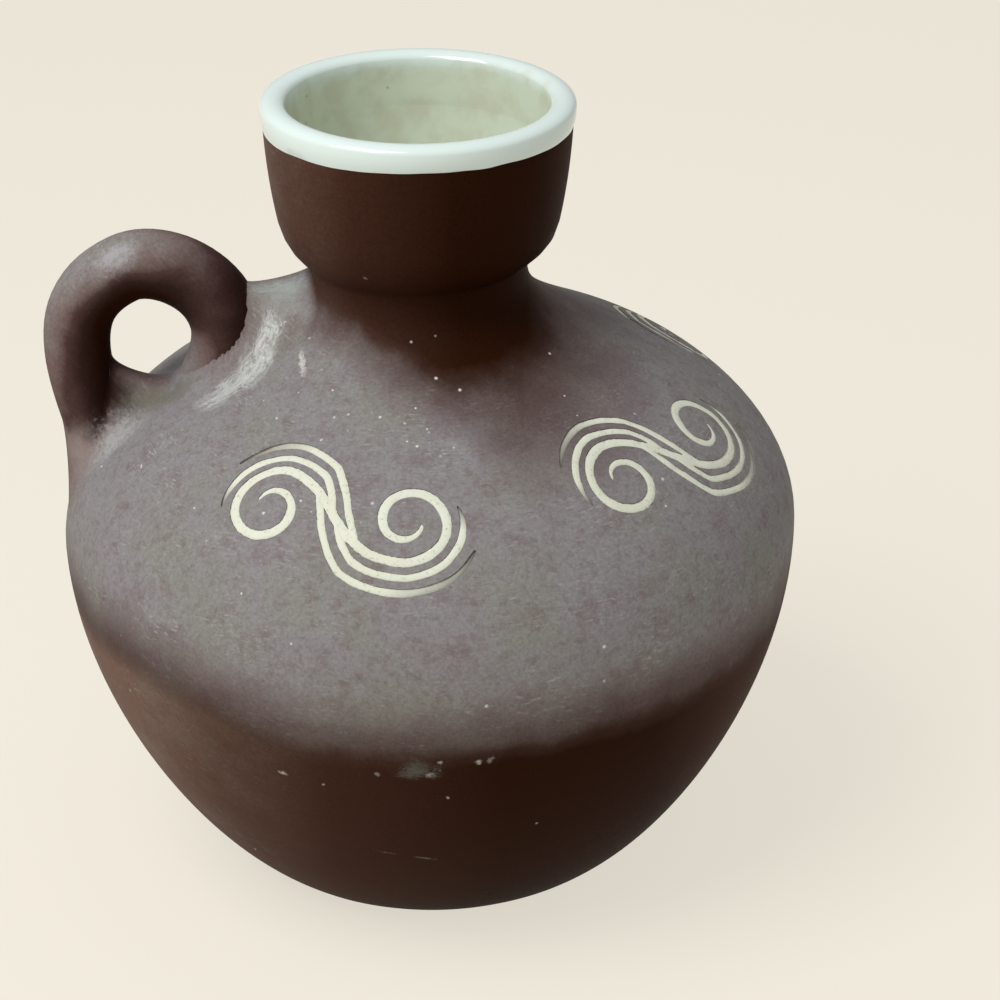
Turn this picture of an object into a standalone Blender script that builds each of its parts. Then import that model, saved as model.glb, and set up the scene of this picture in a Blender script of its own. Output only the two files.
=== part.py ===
"""A squat thrown stoneware jug with a finger-ring handle on its shoulder.

Metres, +Z up. The jug stands on its flat base with the turning axis through the origin; the
handle stands at -X. Each piece of clay, glaze and slip is an object of its own. The outer line
of the wall is drawn once, as a chain of curves between named sizes, and every turned piece is
a stretch of that line or of a line at a named depth inside it.
"""

import math

import bmesh
import bpy
from mathutils import Vector

# Outer line of the body: foot, widest line, shoulder
FOOT_RADIUS = 0.0369
FOOT_ANGLE = math.radians(33.3)
FOOT_PULL = 0.0175
BELLY_RADIUS = 0.0700
BELLY_HEIGHT = 0.0671
BELLY_PULL_DOWN = 0.0273
BELLY_PULL_UP = 0.0154
SHOULDER_INSET = 0.0231
SHOULDER_RISE = 0.0302
SHOULDER_SLOPE = math.radians(26.9)
SHOULDER_PULL = 0.0070

# Outer line of the neck and the cup-shaped mouth
NECK_RADIUS = 0.0200
NECK_RISE = 0.0090
NECK_PULL_DOWN = 0.0064
NECK_PULL_UP = 0.0013
CUP_FLARE = 0.0061
CUP_UNDERSIDE = 0.0087
KNEE_ANGLE = math.radians(11.7)
KNEE_PULL_DOWN = 0.0065
KNEE_PULL_UP = 0.0050
RIM_RADIUS = 0.0285
CUP_WALL_RISE = 0.0216
RIM_ANGLE = math.radians(1.9)
RIM_PULL = 0.0097
LIP_WIDTH = 0.0042
LIP_ROUNDING = 0.0003

# The cup sits on the neck a little out of true and leans towards +X
CUP_LEAN = math.radians(1.84)
LEAN_BLEND = 0.0060

# Clay, glaze and the joints between them
FOOT_WALL = 0.0060
FLOOR_THICKNESS = 0.0075
GLAZE_THICKNESS = 0.0006
GAP = 0.0003
RIM_BAND = 0.0034
RIM_BAND_INSIDE = 0.0022

# Ring handle: a round rod that rises from the inner root, turns over and comes down outside
HANDLE_SPAN = 0.0221
HANDLE_OUTER_INSET = 0.0097
HANDLE_INNER_SINK = 0.0022
HANDLE_OUTER_SINK = 0.0067
HANDLE_CROWN_OUTSET = 0.0055
HANDLE_CROWN_RISE = 0.0283
HANDLE_INNER_ANGLE = math.radians(25.0)
HANDLE_CROWN_ANGLE = math.radians(23.7)
HANDLE_OUTER_ANGLE = math.radians(12.5)
HANDLE_INNER_PULL = 0.0166
HANDLE_CROWN_PULL_IN = 0.0082
HANDLE_CROWN_PULL_OUT = 0.0166
HANDLE_OUTER_PULL = 0.0184
HANDLE_TAIL = 0.0100
ROD_RADIUS_INNER = 0.0070
ROD_RADIUS_OUTER = 0.0059

# Slip wiped round the handle's roots, which lutes them to the shoulder
SLIP_WIDTH = 0.0028
SLIP_THICKNESS = 0.0009

# S-scrolls of cream slip inlaid in the shoulder, each curl followed round by two echo lines
SCROLL_AZIMUTHS = {"back_right": 36, "back_left": 108, "front_left": -108, "front_right": -36}
SCROLL_RUN = 0.0310
CURL_REACH = 0.0130
CURL_RADIUS = 0.0078
CURL_INNER_RADIUS = 0.0026
CURL_TURN = math.radians(430)
SCROLL_WIDTH = 0.0018
SCROLL_DEPTH = 0.0011
ECHO_SPACING = 0.0028
ECHO_TURNS = (math.radians(105), math.radians(60))
ECHO_STARTS = (0.50, 0.25)
ECHO_WIDTH = 0.0014
ECHO_DEPTHS = (0.0009, 0.0007)
STROKE_TIP = 0.25

# Fineness of the curves
TURN_STEPS = 40
BELLY_STEPS = 7
SHOULDER_STEPS = 5
NECK_STEPS = 6
UNDERSIDE_STEPS = 4
CUP_STEPS = 3
LIP_STEPS = 6
INSIDE_STRIDE = 2
ROD_SIDES = 16
ROD_STEPS = 10
JOIN_STEPS = 8
CURL_STEP = math.radians(30)


def bezier(start, start_pull, end_pull, end, steps):
    """Points (radius, height) on a cubic curve, its start left out."""
    line = []
    for step in range(1, steps + 1):
        t = step / steps
        weights = ((1 - t) ** 3, 3 * t * (1 - t) ** 2, 3 * t * t * (1 - t), t**3)
        points = (start, start_pull, end_pull, end)
        line.append(tuple(sum(w * p[axis] for w, p in zip(weights, points)) for axis in (0, 1)))
    return line


def shifted(point, direction, length):
    """A point (radius, height) moved along an angle measured from the outward radius."""
    return (point[0] + length * math.cos(direction), point[1] + length * math.sin(direction))


def stations():
    """The named points of the outer line, from the foot to the widest place of the rim."""
    foot = (FOOT_RADIUS, 0.0)
    widest = (BELLY_RADIUS, BELLY_HEIGHT)
    shoulder = (BELLY_RADIUS - SHOULDER_INSET, BELLY_HEIGHT + SHOULDER_RISE)
    slope_run = shoulder[0] - NECK_RADIUS
    corner = (NECK_RADIUS, shoulder[1] + slope_run * math.tan(SHOULDER_SLOPE))
    waist = (NECK_RADIUS, corner[1] + NECK_RISE)
    knee = (NECK_RADIUS + CUP_FLARE, waist[1] + CUP_UNDERSIDE)
    rim = (RIM_RADIUS, knee[1] + CUP_WALL_RISE)
    return foot, widest, shoulder, corner, waist, knee, rim


def outer_line():
    """The outside of the whole jug, from the foot up to the rim."""
    foot, widest, shoulder, corner, waist, knee, rim = stations()
    up = math.pi / 2
    line = [foot]
    above_foot = shifted(foot, FOOT_ANGLE, FOOT_PULL)
    below_widest = shifted(widest, -up, BELLY_PULL_DOWN)
    line += bezier(foot, above_foot, below_widest, widest, BELLY_STEPS)
    above_widest = shifted(widest, up, BELLY_PULL_UP)
    below_shoulder = shifted(shoulder, -SHOULDER_SLOPE, SHOULDER_PULL)
    line += bezier(widest, above_widest, below_shoulder, shoulder, SHOULDER_STEPS)
    below_waist = shifted(waist, -up, NECK_PULL_DOWN)
    line += bezier(shoulder, corner, below_waist, waist, NECK_STEPS)
    above_waist = shifted(waist, up, NECK_PULL_UP)
    below_knee = shifted(knee, -up - KNEE_ANGLE, KNEE_PULL_DOWN)
    line += bezier(waist, above_waist, below_knee, knee, UNDERSIDE_STEPS)
    above_knee = shifted(knee, up - KNEE_ANGLE, KNEE_PULL_UP)
    below_rim = shifted(rim, -up - RIM_ANGLE, RIM_PULL)
    line += bezier(knee, above_knee, below_rim, rim, CUP_STEPS)
    return line


def offset(line, depths):
    """The line moved inwards, square to itself, by a depth for each point."""
    moved = []
    for index, (point, depth) in enumerate(zip(line, depths)):
        before = line[max(index - 1, 0)]
        after = line[min(index + 1, len(line) - 1)]
        along = Vector((after[0] - before[0], after[1] - before[1])).normalized()
        moved.append((point[0] - depth * along.y, point[1] + depth * along.x))
    return moved


def at_height(line, height):
    """The point where a rising line passes a height."""
    for low, high in zip(line, line[1:]):
        if low[1] <= height <= high[1]:
            share = (height - low[1]) / (high[1] - low[1])
            return (low[0] + share * (high[0] - low[0]), height)
    return line[0] if height < line[0][1] else line[-1]


def between(line, low, high):
    """The stretch of a rising line between two heights."""
    middle = [point for point in line if low < point[1] < high]
    return [at_height(line, low), *middle, at_height(line, high)]


def inner_line(depth):
    """The inside of the wall, moved a further depth inwards, from the axis at the floor to the rim."""
    outer = outer_line()
    top = outer[-1][1]
    lip_wall = LIP_WIDTH - GAP - GLAZE_THICKNESS
    walls = [FOOT_WALL + (lip_wall - FOOT_WALL) * height / top for _, height in outer]
    inside = offset(outer, [wall + depth for wall in walls])
    inside = [*inside[:-1:INSIDE_STRIDE], inside[-1]]
    floor = FLOOR_THICKNESS + depth
    return [(0.0, floor), *between(inside, floor, top)]


def lip(coat):
    """The rounded top of the rim under a coat of a given thickness, from the outside inwards."""
    rim = stations()[-1]
    centre = rim[0] - LIP_WIDTH / 2
    half = LIP_WIDTH / 2 - coat
    rise = LIP_ROUNDING + GAP + GLAZE_THICKNESS - coat
    angles = [math.pi * step / LIP_STEPS for step in range(1, LIP_STEPS)]
    return [(centre + half * math.cos(angle), rim[1] + rise * math.sin(angle)) for angle in angles]


def leaned(point):
    """A point of the cup after the cup has settled out of true on the neck."""
    rise = point.z - stations()[4][1]
    if rise <= 0:
        return point
    tilt = math.tan(CUP_LEAN) * min(1.0, rise / LEAN_BLEND)
    return Vector((point.x + rise * math.tan(CUP_LEAN), point.y, point.z - tilt * point.x))


def material(name, colour, roughness):
    """A plain finish of one colour."""
    finish = bpy.data.materials.new(name)
    finish.use_nodes = True
    shader = finish.node_tree.nodes["Principled BSDF"]
    shader.inputs["Base Color"].default_value = (*colour, 1.0)
    shader.inputs["Roughness"].default_value = roughness
    return finish


def add_object(name, shape, finish, sharp=math.radians(40)):
    """Turns a bmesh into a smooth-shaded object in the scene."""
    bmesh.ops.recalc_face_normals(shape, faces=shape.faces)
    mesh = bpy.data.meshes.new(name)
    shape.to_mesh(mesh)
    shape.free()
    mesh.shade_smooth()
    mesh.set_sharp_from_angle(angle=sharp)
    piece = bpy.data.objects.new(name, mesh)
    if finish:
        mesh.materials.append(finish)
    bpy.context.scene.collection.objects.link(piece)
    return piece


def turned(name, profile, finish):
    """A piece turned on the wheel from a profile (radius, height), closed to the axis or to itself."""
    shape = bmesh.new()
    points = [shape.verts.new((radius, 0, height)) for radius, height in profile]
    edges = [shape.edges.new(pair) for pair in zip(points, points[1:])]
    if profile[0][0] > 0:
        edges.append(shape.edges.new((points[-1], points[0])))
    bmesh.ops.spin(
        shape,
        geom=points + edges,
        cent=(0, 0, 0),
        axis=(0, 0, 1),
        angle=2 * math.pi,
        steps=TURN_STEPS,
        use_merge=True,
    )
    bmesh.ops.remove_doubles(shape, verts=shape.verts, dist=1e-6)
    for vertex in shape.verts:
        vertex.co = leaned(vertex.co)
    return add_object(name, shape, finish)


def helper(piece):
    """Keeps a cutter or a guide out of the finished jug."""
    piece.hide_render = True
    piece.display_type = "WIRE"
    return piece


def boolean(piece, operation, other):
    """Cuts a piece with another. Either may cross itself, as a scroll's strokes do."""
    modifier = piece.modifiers.new(f"{operation.lower()} {other.name}", "BOOLEAN")
    modifier.operation = operation
    modifier.object = other
    modifier.use_self = True


def wall_piece(name, low, high, finish):
    """A ring of the clay wall between two heights."""
    outside = between(outer_line(), low, high)
    inside = between(inner_line(0.0)[1:], low, high)
    return turned(name, [*inside, *reversed(outside)], finish)


def make_belly_bowl(finish):
    """The lower half of the body with its floor."""
    seam = stations()[1][1] - GAP / 2
    inside = [point for point in inner_line(0.0) if point[1] < seam]
    inside.append(at_height(inner_line(0.0)[1:], seam))
    outside = between(outer_line(), 0.0, seam)
    return turned("belly_bowl", [*inside, *reversed(outside), (0.0, 0.0)], finish)


def make_shoulder_dome(finish):
    """The upper half of the body, from the widest line to the foot of the neck."""
    low = stations()[1][1] + GAP / 2
    high = stations()[3][1] - GAP / 2
    return wall_piece("shoulder_dome", low, high, finish)


def make_neck_collar(finish):
    """The waisted neck, up to its narrowest place."""
    low = stations()[3][1] + GAP / 2
    high = stations()[4][1] - GAP / 2
    return wall_piece("neck_collar", low, high, finish)


def make_mouth_cup(finish):
    """The cup-shaped mouth, its lip cut back under the glaze bead."""
    waist, rim = stations()[4], stations()[-1]
    coat = GLAZE_THICKNESS + GAP
    low = waist[1] + GAP / 2
    step = rim[1] - RIM_BAND - GAP
    outside = between(outer_line(), low, step)
    recessed = between(offset(outer_line(), [coat] * len(outer_line())), step, rim[1])
    inside = between(inner_line(0.0)[1:], low, rim[1])
    upwards = [*outside, *recessed, *lip(coat)]
    return turned("mouth_cup", [*inside, *reversed(upwards)], finish)


def make_rim_glaze(finish):
    """The thick glaze bead that runs over the lip."""
    rim = stations()[-1]
    outer = outer_line()
    low = rim[1] - RIM_BAND
    low_inside = rim[1] - RIM_BAND_INSIDE
    face = between(outer, low, rim[1])
    back = between(offset(outer, [GLAZE_THICKNESS] * len(outer)), low, rim[1])
    inner_face = between(inner_line(GAP + GLAZE_THICKNESS)[1:], low_inside, rim[1])
    inner_back = between(inner_line(GAP)[1:], low_inside, rim[1])
    over_lip = [*face, *lip(0.0), *reversed(inner_face)]
    under_lip = [*inner_back, *reversed(lip(GLAZE_THICKNESS)), *reversed(back)]
    return turned("rim_glaze", [*over_lip, *under_lip], finish)


def make_liner_glaze(finish):
    """The glaze poured round the inside, one skin from below the lip to the floor."""
    top = stations()[-1][1] - RIM_BAND_INSIDE - GAP
    back = inner_line(GAP)
    face = inner_line(GAP + GLAZE_THICKNESS)
    back = [back[0], *between(back[1:], back[0][1], top)]
    face = [face[0], *between(face[1:], face[0][1], top)]
    return turned("liner_glaze", [*back, *reversed(face)], finish)


def body_form(name, clearance):
    """A solid of the body and neck's outside, let out by a clearance, to cut other pieces with."""
    outer = between(outer_line(), 0.0, stations()[4][1])
    form = offset(outer, [-clearance] * len(outer))
    return helper(turned(name, [(0.0, form[-1][1]), *reversed(form), (0.0, form[0][1])], None))


def shoulder_height(radius):
    """Height of the shoulder's outside at a distance from the axis."""
    falling = [point for point in outer_line() if point[1] >= BELLY_HEIGHT]
    for low, high in zip(falling, falling[1:]):
        if high[0] <= radius <= low[0]:
            share = (low[0] - radius) / (low[0] - high[0])
            return low[1] + share * (high[1] - low[1])
    return BELLY_HEIGHT


def handle_path():
    """The rod's centre line (reach from the axis, height) and its radius at each point."""
    outer_reach = BELLY_RADIUS - HANDLE_OUTER_INSET
    inner_reach = outer_reach - HANDLE_SPAN
    crown_reach = inner_reach + HANDLE_SPAN / 2 + HANDLE_CROWN_OUTSET
    inner = (inner_reach, shoulder_height(inner_reach) - HANDLE_INNER_SINK)
    outer = (outer_reach, shoulder_height(outer_reach) - HANDLE_OUTER_SINK)
    crown = (crown_reach, shoulder_height(crown_reach) + HANDLE_CROWN_RISE)
    up = math.pi / 2
    inner_up = up + HANDLE_INNER_ANGLE
    outer_up = up - HANDLE_OUTER_ANGLE
    crown_in = math.pi - HANDLE_CROWN_ANGLE
    crown_out = -HANDLE_CROWN_ANGLE
    path = [shifted(inner, inner_up, -HANDLE_TAIL), shifted(inner, inner_up, -HANDLE_TAIL / 2), inner]
    path += bezier(
        inner,
        shifted(inner, inner_up, HANDLE_INNER_PULL),
        shifted(crown, crown_in, HANDLE_CROWN_PULL_IN),
        crown,
        ROD_STEPS,
    )
    path += bezier(
        crown,
        shifted(crown, crown_out, HANDLE_CROWN_PULL_OUT),
        shifted(outer, outer_up, HANDLE_OUTER_PULL),
        outer,
        ROD_STEPS,
    )
    path += [shifted(outer, outer_up, -HANDLE_TAIL / 2), shifted(outer, outer_up, -HANDLE_TAIL)]
    taper = (ROD_RADIUS_OUTER - ROD_RADIUS_INNER) / (len(path) - 1)
    radii = [ROD_RADIUS_INNER + taper * index for index in range(len(path))]
    return path, radii


def rod_ring(path, index, radius):
    """A ring of points square to the rod's centre line, which lies in the XZ plane at -X."""
    before = path[max(index - 1, 0)]
    after = path[min(index + 1, len(path) - 1)]
    along = Vector((before[0] - after[0], 0, after[1] - before[1])).normalized()
    across = Vector((0, 1, 0))
    side = along.cross(across)
    centre = Vector((-path[index][0], 0, path[index][1]))
    angles = [2 * math.pi * corner / ROD_SIDES for corner in range(ROD_SIDES)]
    return [centre + radius * (math.cos(angle) * side + math.sin(angle) * across) for angle in angles]


def skinned(shape, rings):
    """A closed skin over a row of rings of vertices."""
    for ring, following in zip(rings, rings[1:]):
        for corner in range(len(ring)):
            beside = (corner + 1) % len(ring)
            shape.faces.new((ring[corner], ring[beside], following[beside], following[corner]))
    shape.faces.new(rings[0])
    shape.faces.new(rings[-1])


def rod(name, finish, extra=0.0, stretch=slice(None)):
    """The handle's rod, or a stretch of it, made thicker by an extra on its radius."""
    path, radii = handle_path()
    shape = bmesh.new()
    rings = []
    for index in range(len(path))[stretch]:
        ring = rod_ring(path, index, radii[index] + extra)
        rings.append([shape.verts.new(point) for point in ring])
    skinned(shape, rings)
    return add_object(name, shape, finish)


def make_ring_handle(finish, shoulder_form):
    """The pulled rod, its two ends trimmed to the shoulder."""
    handle = rod("ring_handle", finish)
    boolean(handle, "DIFFERENCE", shoulder_form)


def make_root_slips(finish, shoulder_form):
    """The coat of slip on the shoulder round each root of the handle."""
    coat_form = body_form("slip_face", GAP + SLIP_THICKNESS)
    rod_form = helper(rod("rod_room", None, GAP))
    root = len(handle_path()[0]) // 3
    for name, stretch in (("upper_root_slip", slice(0, root)), ("lower_root_slip", slice(-root, None))):
        slip = rod(name, finish, SLIP_WIDTH, stretch)
        boolean(slip, "INTERSECT", coat_form)
        boolean(slip, "DIFFERENCE", shoulder_form)
        boolean(slip, "DIFFERENCE", rod_form)


def shoulder_point(azimuth, run):
    """The place at an azimuth and a distance up the outside from the widest line, and its normal."""
    rising = [Vector(point) for point in outer_line() if point[1] >= BELLY_HEIGHT]
    left = run
    for low, high in zip(rising, rising[1:]):
        step = (high - low).length
        if left <= step:
            break
        left -= step
    flat = low.lerp(high, left / step)
    normal = Vector((high.y - low.y, low.x - high.x)).normalized()
    out = Vector((math.cos(azimuth), math.sin(azimuth), 0))
    return out * flat.x + Vector((0, 0, flat.y)), out * normal.x + Vector((0, 0, normal.y))


def add_stroke(shape, path, width, depth, clearance):
    """One cut of the tool, widest in the middle of its path, half of it sunk into the shoulder."""
    places = [shoulder_point(*spot) for spot in path]
    rings = []
    for index, (place, normal) in enumerate(places):
        before = places[max(index - 1, 0)][0]
        after = places[min(index + 1, len(places) - 1)][0]
        along = (after - before).normalized()
        across = along.cross(normal).normalized()
        share = index / (len(places) - 1)
        end = {0.0: -1, 1.0: 1}.get(share, 0)
        swell = STROKE_TIP + (1 - STROKE_TIP) * math.sqrt(math.sin(math.pi * share))
        side = (width / 2 * swell + clearance) * across
        centre = place + end * clearance * along
        top = centre + depth * normal
        bottom = centre - (depth + clearance) * normal
        corners = (top - side, top + side, bottom + side, bottom - side)
        rings.append([shape.verts.new(corner) for corner in corners])
    skinned(shape, rings)


def curl_spot(turn, outset):
    """A point (along, up) by the right curl, an angle on from its lowest point and an outset outside it."""
    share = turn / CURL_TURN
    radius = CURL_RADIUS + (CURL_INNER_RADIUS - CURL_RADIUS) * share + outset
    return shifted((CURL_REACH, 0.0), turn - math.pi / 2, radius)


def curl_line(turn, outset):
    """The right curl from its lowest point as far as a turn, at an outset outside it."""
    steps = round(turn / CURL_STEP)
    return [curl_spot(turn * step / steps, outset) for step in range(1, steps + 1)]


def opposite(line):
    """The same line turned half round about the scroll's middle."""
    return [(-along, -up) for along, up in line]


def scroll_strokes():
    """Each stroke of a scroll, as a line of points (along, up) in metres, a width and a depth."""
    end = curl_spot(0.0, 0.0)
    start = opposite([end])[0]
    leaving = (start[0] + CURL_REACH, start[1])
    arriving = (end[0] - CURL_REACH, end[1])
    join = [start, *bezier(start, leaving, arriving, end, JOIN_STEPS)]
    curl = curl_line(CURL_TURN, 0.0)
    main_line = [*opposite(reversed(curl)), *join[::2], *curl]
    strokes = [(main_line, SCROLL_WIDTH, SCROLL_DEPTH)]
    for number, (turn, share, depth) in enumerate(zip(ECHO_TURNS, ECHO_STARTS, ECHO_DEPTHS), start=1):
        outset = number * ECHO_SPACING
        beside = join[round(share * JOIN_STEPS) :]
        spread = [-min(outset, step * ECHO_SPACING / 2) for step in range(len(beside))]
        echo = [*offset(beside, spread), *curl_line(turn, outset)]
        strokes += [(echo, ECHO_WIDTH, depth), (opposite(echo), ECHO_WIDTH, depth)]
    return strokes


def add_scroll(name, azimuth, finish, clearance):
    """The strokes of a scroll round an azimuth, let out by a clearance."""
    shape = bmesh.new()
    radius = shoulder_point(0.0, SCROLL_RUN)[0].x
    for line, width, depth in scroll_strokes():
        path = [(math.radians(azimuth) + along / radius, SCROLL_RUN + up) for along, up in line]
        add_stroke(shape, path, width, depth, clearance)
    return add_object(name, shape, finish)


def make_scroll_inlays(finish, shoulder):
    """The scrolls, level with the shoulder, each in a groove that is a little wider and deeper."""
    shoulder_face = body_form("shoulder_face", 0.0)
    for place, azimuth in SCROLL_AZIMUTHS.items():
        scroll = add_scroll(f"scroll_inlay_{place}", azimuth, finish, 0.0)
        boolean(scroll, "INTERSECT", shoulder_face)
        groove = helper(add_scroll(f"groove_{place}", azimuth, None, GAP))
        boolean(shoulder, "DIFFERENCE", groove)
    shoulder.modifiers.new("even shading", "WEIGHTED_NORMAL").keep_sharp = True


def main():
    """Clears the scene and builds the jug."""
    for old in list(bpy.data.objects):
        bpy.data.objects.remove(old)

    clay = material("burnished red-brown stoneware", (0.115, 0.052, 0.043), 0.62)
    white = material("glossy white tin glaze", (0.72, 0.78, 0.72), 0.12)
    cream = material("cream liner glaze", (0.56, 0.55, 0.40), 0.18)
    wiped = material("grey-green wiped slip", (0.26, 0.26, 0.22), 0.80)
    inlay = material("cream inlaid slip", (0.68, 0.66, 0.47), 0.75)

    make_belly_bowl(clay)
    shoulder = make_shoulder_dome(clay)
    make_neck_collar(clay)
    make_mouth_cup(clay)
    make_rim_glaze(white)
    make_liner_glaze(cream)

    shoulder_form = body_form("shoulder_room", GAP)
    make_ring_handle(clay, shoulder_form)
    make_root_slips(wiped, shoulder_form)
    make_scroll_inlays(inlay, shoulder)


if __name__ == "__main__":
    main()
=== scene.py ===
"""Looks of a squat stoneware jug: thrown body, ring handle, glazed mouth and inlaid scrolls.

Metres, +Z up, the turning axis through the origin and the handle at -X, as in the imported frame.
The clay is one wall turned from one outline. The handle, the slip at its roots, the glaze over
the lip, the glaze lining and the slip in the scrolls are pieces that lie on that wall or in it.
"""

from __future__ import annotations

import logging
import math
from dataclasses import dataclass, field
from enum import Enum
from typing import Mapping, Sequence

import bpy
from mathutils import Matrix, Vector, noise
from mathutils.bvhtree import BVHTree
from mathutils.geometry import interpolate_bezier

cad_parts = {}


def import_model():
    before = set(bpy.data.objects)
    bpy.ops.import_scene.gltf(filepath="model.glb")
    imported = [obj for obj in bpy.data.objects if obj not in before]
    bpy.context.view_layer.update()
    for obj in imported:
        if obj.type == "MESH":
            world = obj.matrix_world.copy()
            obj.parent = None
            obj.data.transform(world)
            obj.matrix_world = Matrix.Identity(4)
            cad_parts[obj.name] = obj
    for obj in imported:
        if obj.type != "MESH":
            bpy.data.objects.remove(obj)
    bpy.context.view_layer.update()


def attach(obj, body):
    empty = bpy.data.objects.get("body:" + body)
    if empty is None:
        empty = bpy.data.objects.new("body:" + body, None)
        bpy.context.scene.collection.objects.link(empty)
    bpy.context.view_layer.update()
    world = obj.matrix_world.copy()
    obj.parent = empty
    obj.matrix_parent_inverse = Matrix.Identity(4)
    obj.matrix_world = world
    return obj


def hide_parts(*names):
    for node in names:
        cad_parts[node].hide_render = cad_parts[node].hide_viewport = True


LOG = logging.getLogger("jug")
BODY = "root"
CHALK = "#C9C7C1"
# Times a place, this leaves what is level of it.
LEVEL = (1.0, 1.0, 0.0)
SAME_PLACE = 2e-6
# A mark wider than this has brush strokes of its own, and one that strays more bends as a whole.
BRUSHED_WIDTH = 0.0008
WIDE_STRAY = 0.002

Colour = tuple[float, float, float, float]
Tree = bpy.types.NodeTree
Source = bpy.types.NodeSocket | bpy.types.Node
Piece = bpy.types.Object


def linear(hex_colour: str) -> Colour:
    """Turns an sRGB hex colour into the linear colour that a shader takes.

    Args:
        hex_colour: six hex digits after a hash sign.

    Returns:
        Linear red, green, blue and an alpha of one.
    """
    parts = [int(hex_colour[start : start + 2], 16) / 255 for start in (1, 3, 5)]
    red, green, blue = (
        part / 12.92 if part <= 0.04045 else ((part + 0.055) / 1.055) ** 2.4 for part in parts
    )
    return (red, green, blue, 1.0)


def per_mm(size: float) -> float:
    """Texture scale on Object coordinates whose features are about a size in millimetres."""
    return 1000.0 / size


def set_node(
    tree: Tree,
    node: bpy.types.Node,
    settings: Mapping[str | int, object],
    links: Mapping[str | int, Source],
) -> None:
    """Sets values of a node and links its inputs.

    Args:
        tree: the material's or world's node tree.
        node: a node in it.
        settings: values by property name, input name or input number.
        links: what feeds an input, by name or number: a socket, or a node for its first output.
    """
    for name, value in settings.items():
        if isinstance(name, str) and hasattr(node, name):
            setattr(node, name, value)
        else:
            node.inputs[name].default_value = value
    for name, source in links.items():
        socket = source.outputs[0] if isinstance(source, bpy.types.Node) else source
        tree.links.new(socket, node.inputs[name])


def add_node(
    tree: Tree,
    kind: str,
    settings: Mapping[str | int, object] | None = None,
    links: Mapping[str | int, Source] | None = None,
) -> bpy.types.Node:
    """Adds a node to a tree, sets it and links it.

    Args:
        tree: the material's or world's node tree.
        kind: the node's type name after "ShaderNode".
        settings: as in set_node.
        links: as in set_node.

    Returns:
        The new node.
    """
    node = tree.nodes.new(f"ShaderNode{kind}")
    set_node(tree, node, settings or {}, links or {})
    return node


def laid_over(tree: Tree, under: Source | str, over: Source | str, share: Source) -> Source:
    """A colour with a share of another laid over it.

    Args:
        tree: the material's tree.
        under: the lower colour, as a hex colour or a source.
        over: the upper colour, likewise.
        share: how much of the upper colour shows.

    Returns:
        The colour.
    """
    sides = {6: under, 7: over}
    settings = {side: linear(tint) for side, tint in sides.items() if isinstance(tint, str)}
    links = {side: tint for side, tint in sides.items() if not isinstance(tint, str)}
    mixed = add_node(tree, "Mix", {"data_type": "RGBA"} | settings, {0: share} | links)
    return mixed.outputs[2]


def graded(tree: Tree, share: Source, stops: Sequence[tuple[float, str]]) -> Source:
    """A colour that runs through stops as a share rises.

    Args:
        tree: the material's tree.
        share: what it goes by.
        stops: positions and hex colours.

    Returns:
        The colour.
    """
    grade = add_node(tree, "ValToRGB", links={0: share})
    elements = grade.color_ramp.elements
    for number, (position, colour) in enumerate(stops):
        element = elements[number] if number < 2 else elements.new(position)
        element.position = position
        element.color = linear(colour)
    return grade


def new_material(name: str) -> tuple[bpy.types.Material, Tree, bpy.types.Node]:
    """A new material with its node tree and its shader."""
    material = bpy.data.materials.new(name)
    material.use_nodes = True
    return material, material.node_tree, material.node_tree.nodes["Principled BSDF"]


def deselect() -> None:
    """Leaves nothing selected, so that the next operator acts on its own piece alone."""
    bpy.ops.object.select_all(action="DESELECT")


def pick(piece: Piece) -> None:
    """Selects one piece alone and makes it active."""
    deselect()
    piece.select_set(True)
    bpy.context.view_layer.objects.active = piece


def close_up(piece: Piece, fill: bool = False) -> None:
    """Merges a piece's doubles, closes its ends and turns its faces outwards.

    Args:
        piece: the mesh to finish.
        fill: whether open ends get a face.
    """
    pick(piece)
    bpy.ops.object.mode_set(mode="EDIT")
    bpy.ops.mesh.select_all(action="SELECT")
    bpy.ops.mesh.remove_doubles(threshold=SAME_PLACE)
    if fill:
        bpy.ops.mesh.fill_holes(sides=0)
    bpy.ops.mesh.select_all(action="SELECT")
    bpy.ops.mesh.normals_make_consistent(inside=False)
    bpy.ops.object.mode_set(mode="OBJECT")


def turn(name: str, section: Sequence[Vector], steps: int) -> Piece:
    """Turns a closed section round the jug's axis into one closed body.

    Args:
        name: the piece's name.
        section: points (radius, height) in order. Where it starts and ends on the axis, it closes there.
        steps: how many stretches go round the axis.

    Returns:
        The turned piece.
    """
    deselect()
    bpy.ops.mesh.primitive_circle_add(vertices=len(section), radius=max(spot.x for spot in section))
    piece = bpy.context.object
    piece.name = name
    for vertex, spot in zip(piece.data.vertices, section):
        vertex.co = (spot.x, 0.0, spot.y)
    bpy.ops.object.mode_set(mode="EDIT")
    bpy.ops.mesh.select_mode(type="EDGE")
    bpy.ops.mesh.select_all(action="DESELECT")
    bpy.ops.object.mode_set(mode="OBJECT")
    for edge in piece.data.edges:
        edge.select = all(piece.data.vertices[index].co.x < 1e-9 for index in edge.vertices)
    bpy.ops.object.mode_set(mode="EDIT")
    bpy.ops.mesh.delete(type="EDGE")
    bpy.ops.mesh.select_all(action="SELECT")
    bpy.ops.mesh.spin(steps=steps, angle=math.tau, center=(0, 0, 0), axis=(0, 0, 1))
    bpy.ops.object.mode_set(mode="OBJECT")
    close_up(piece)
    return piece


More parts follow.
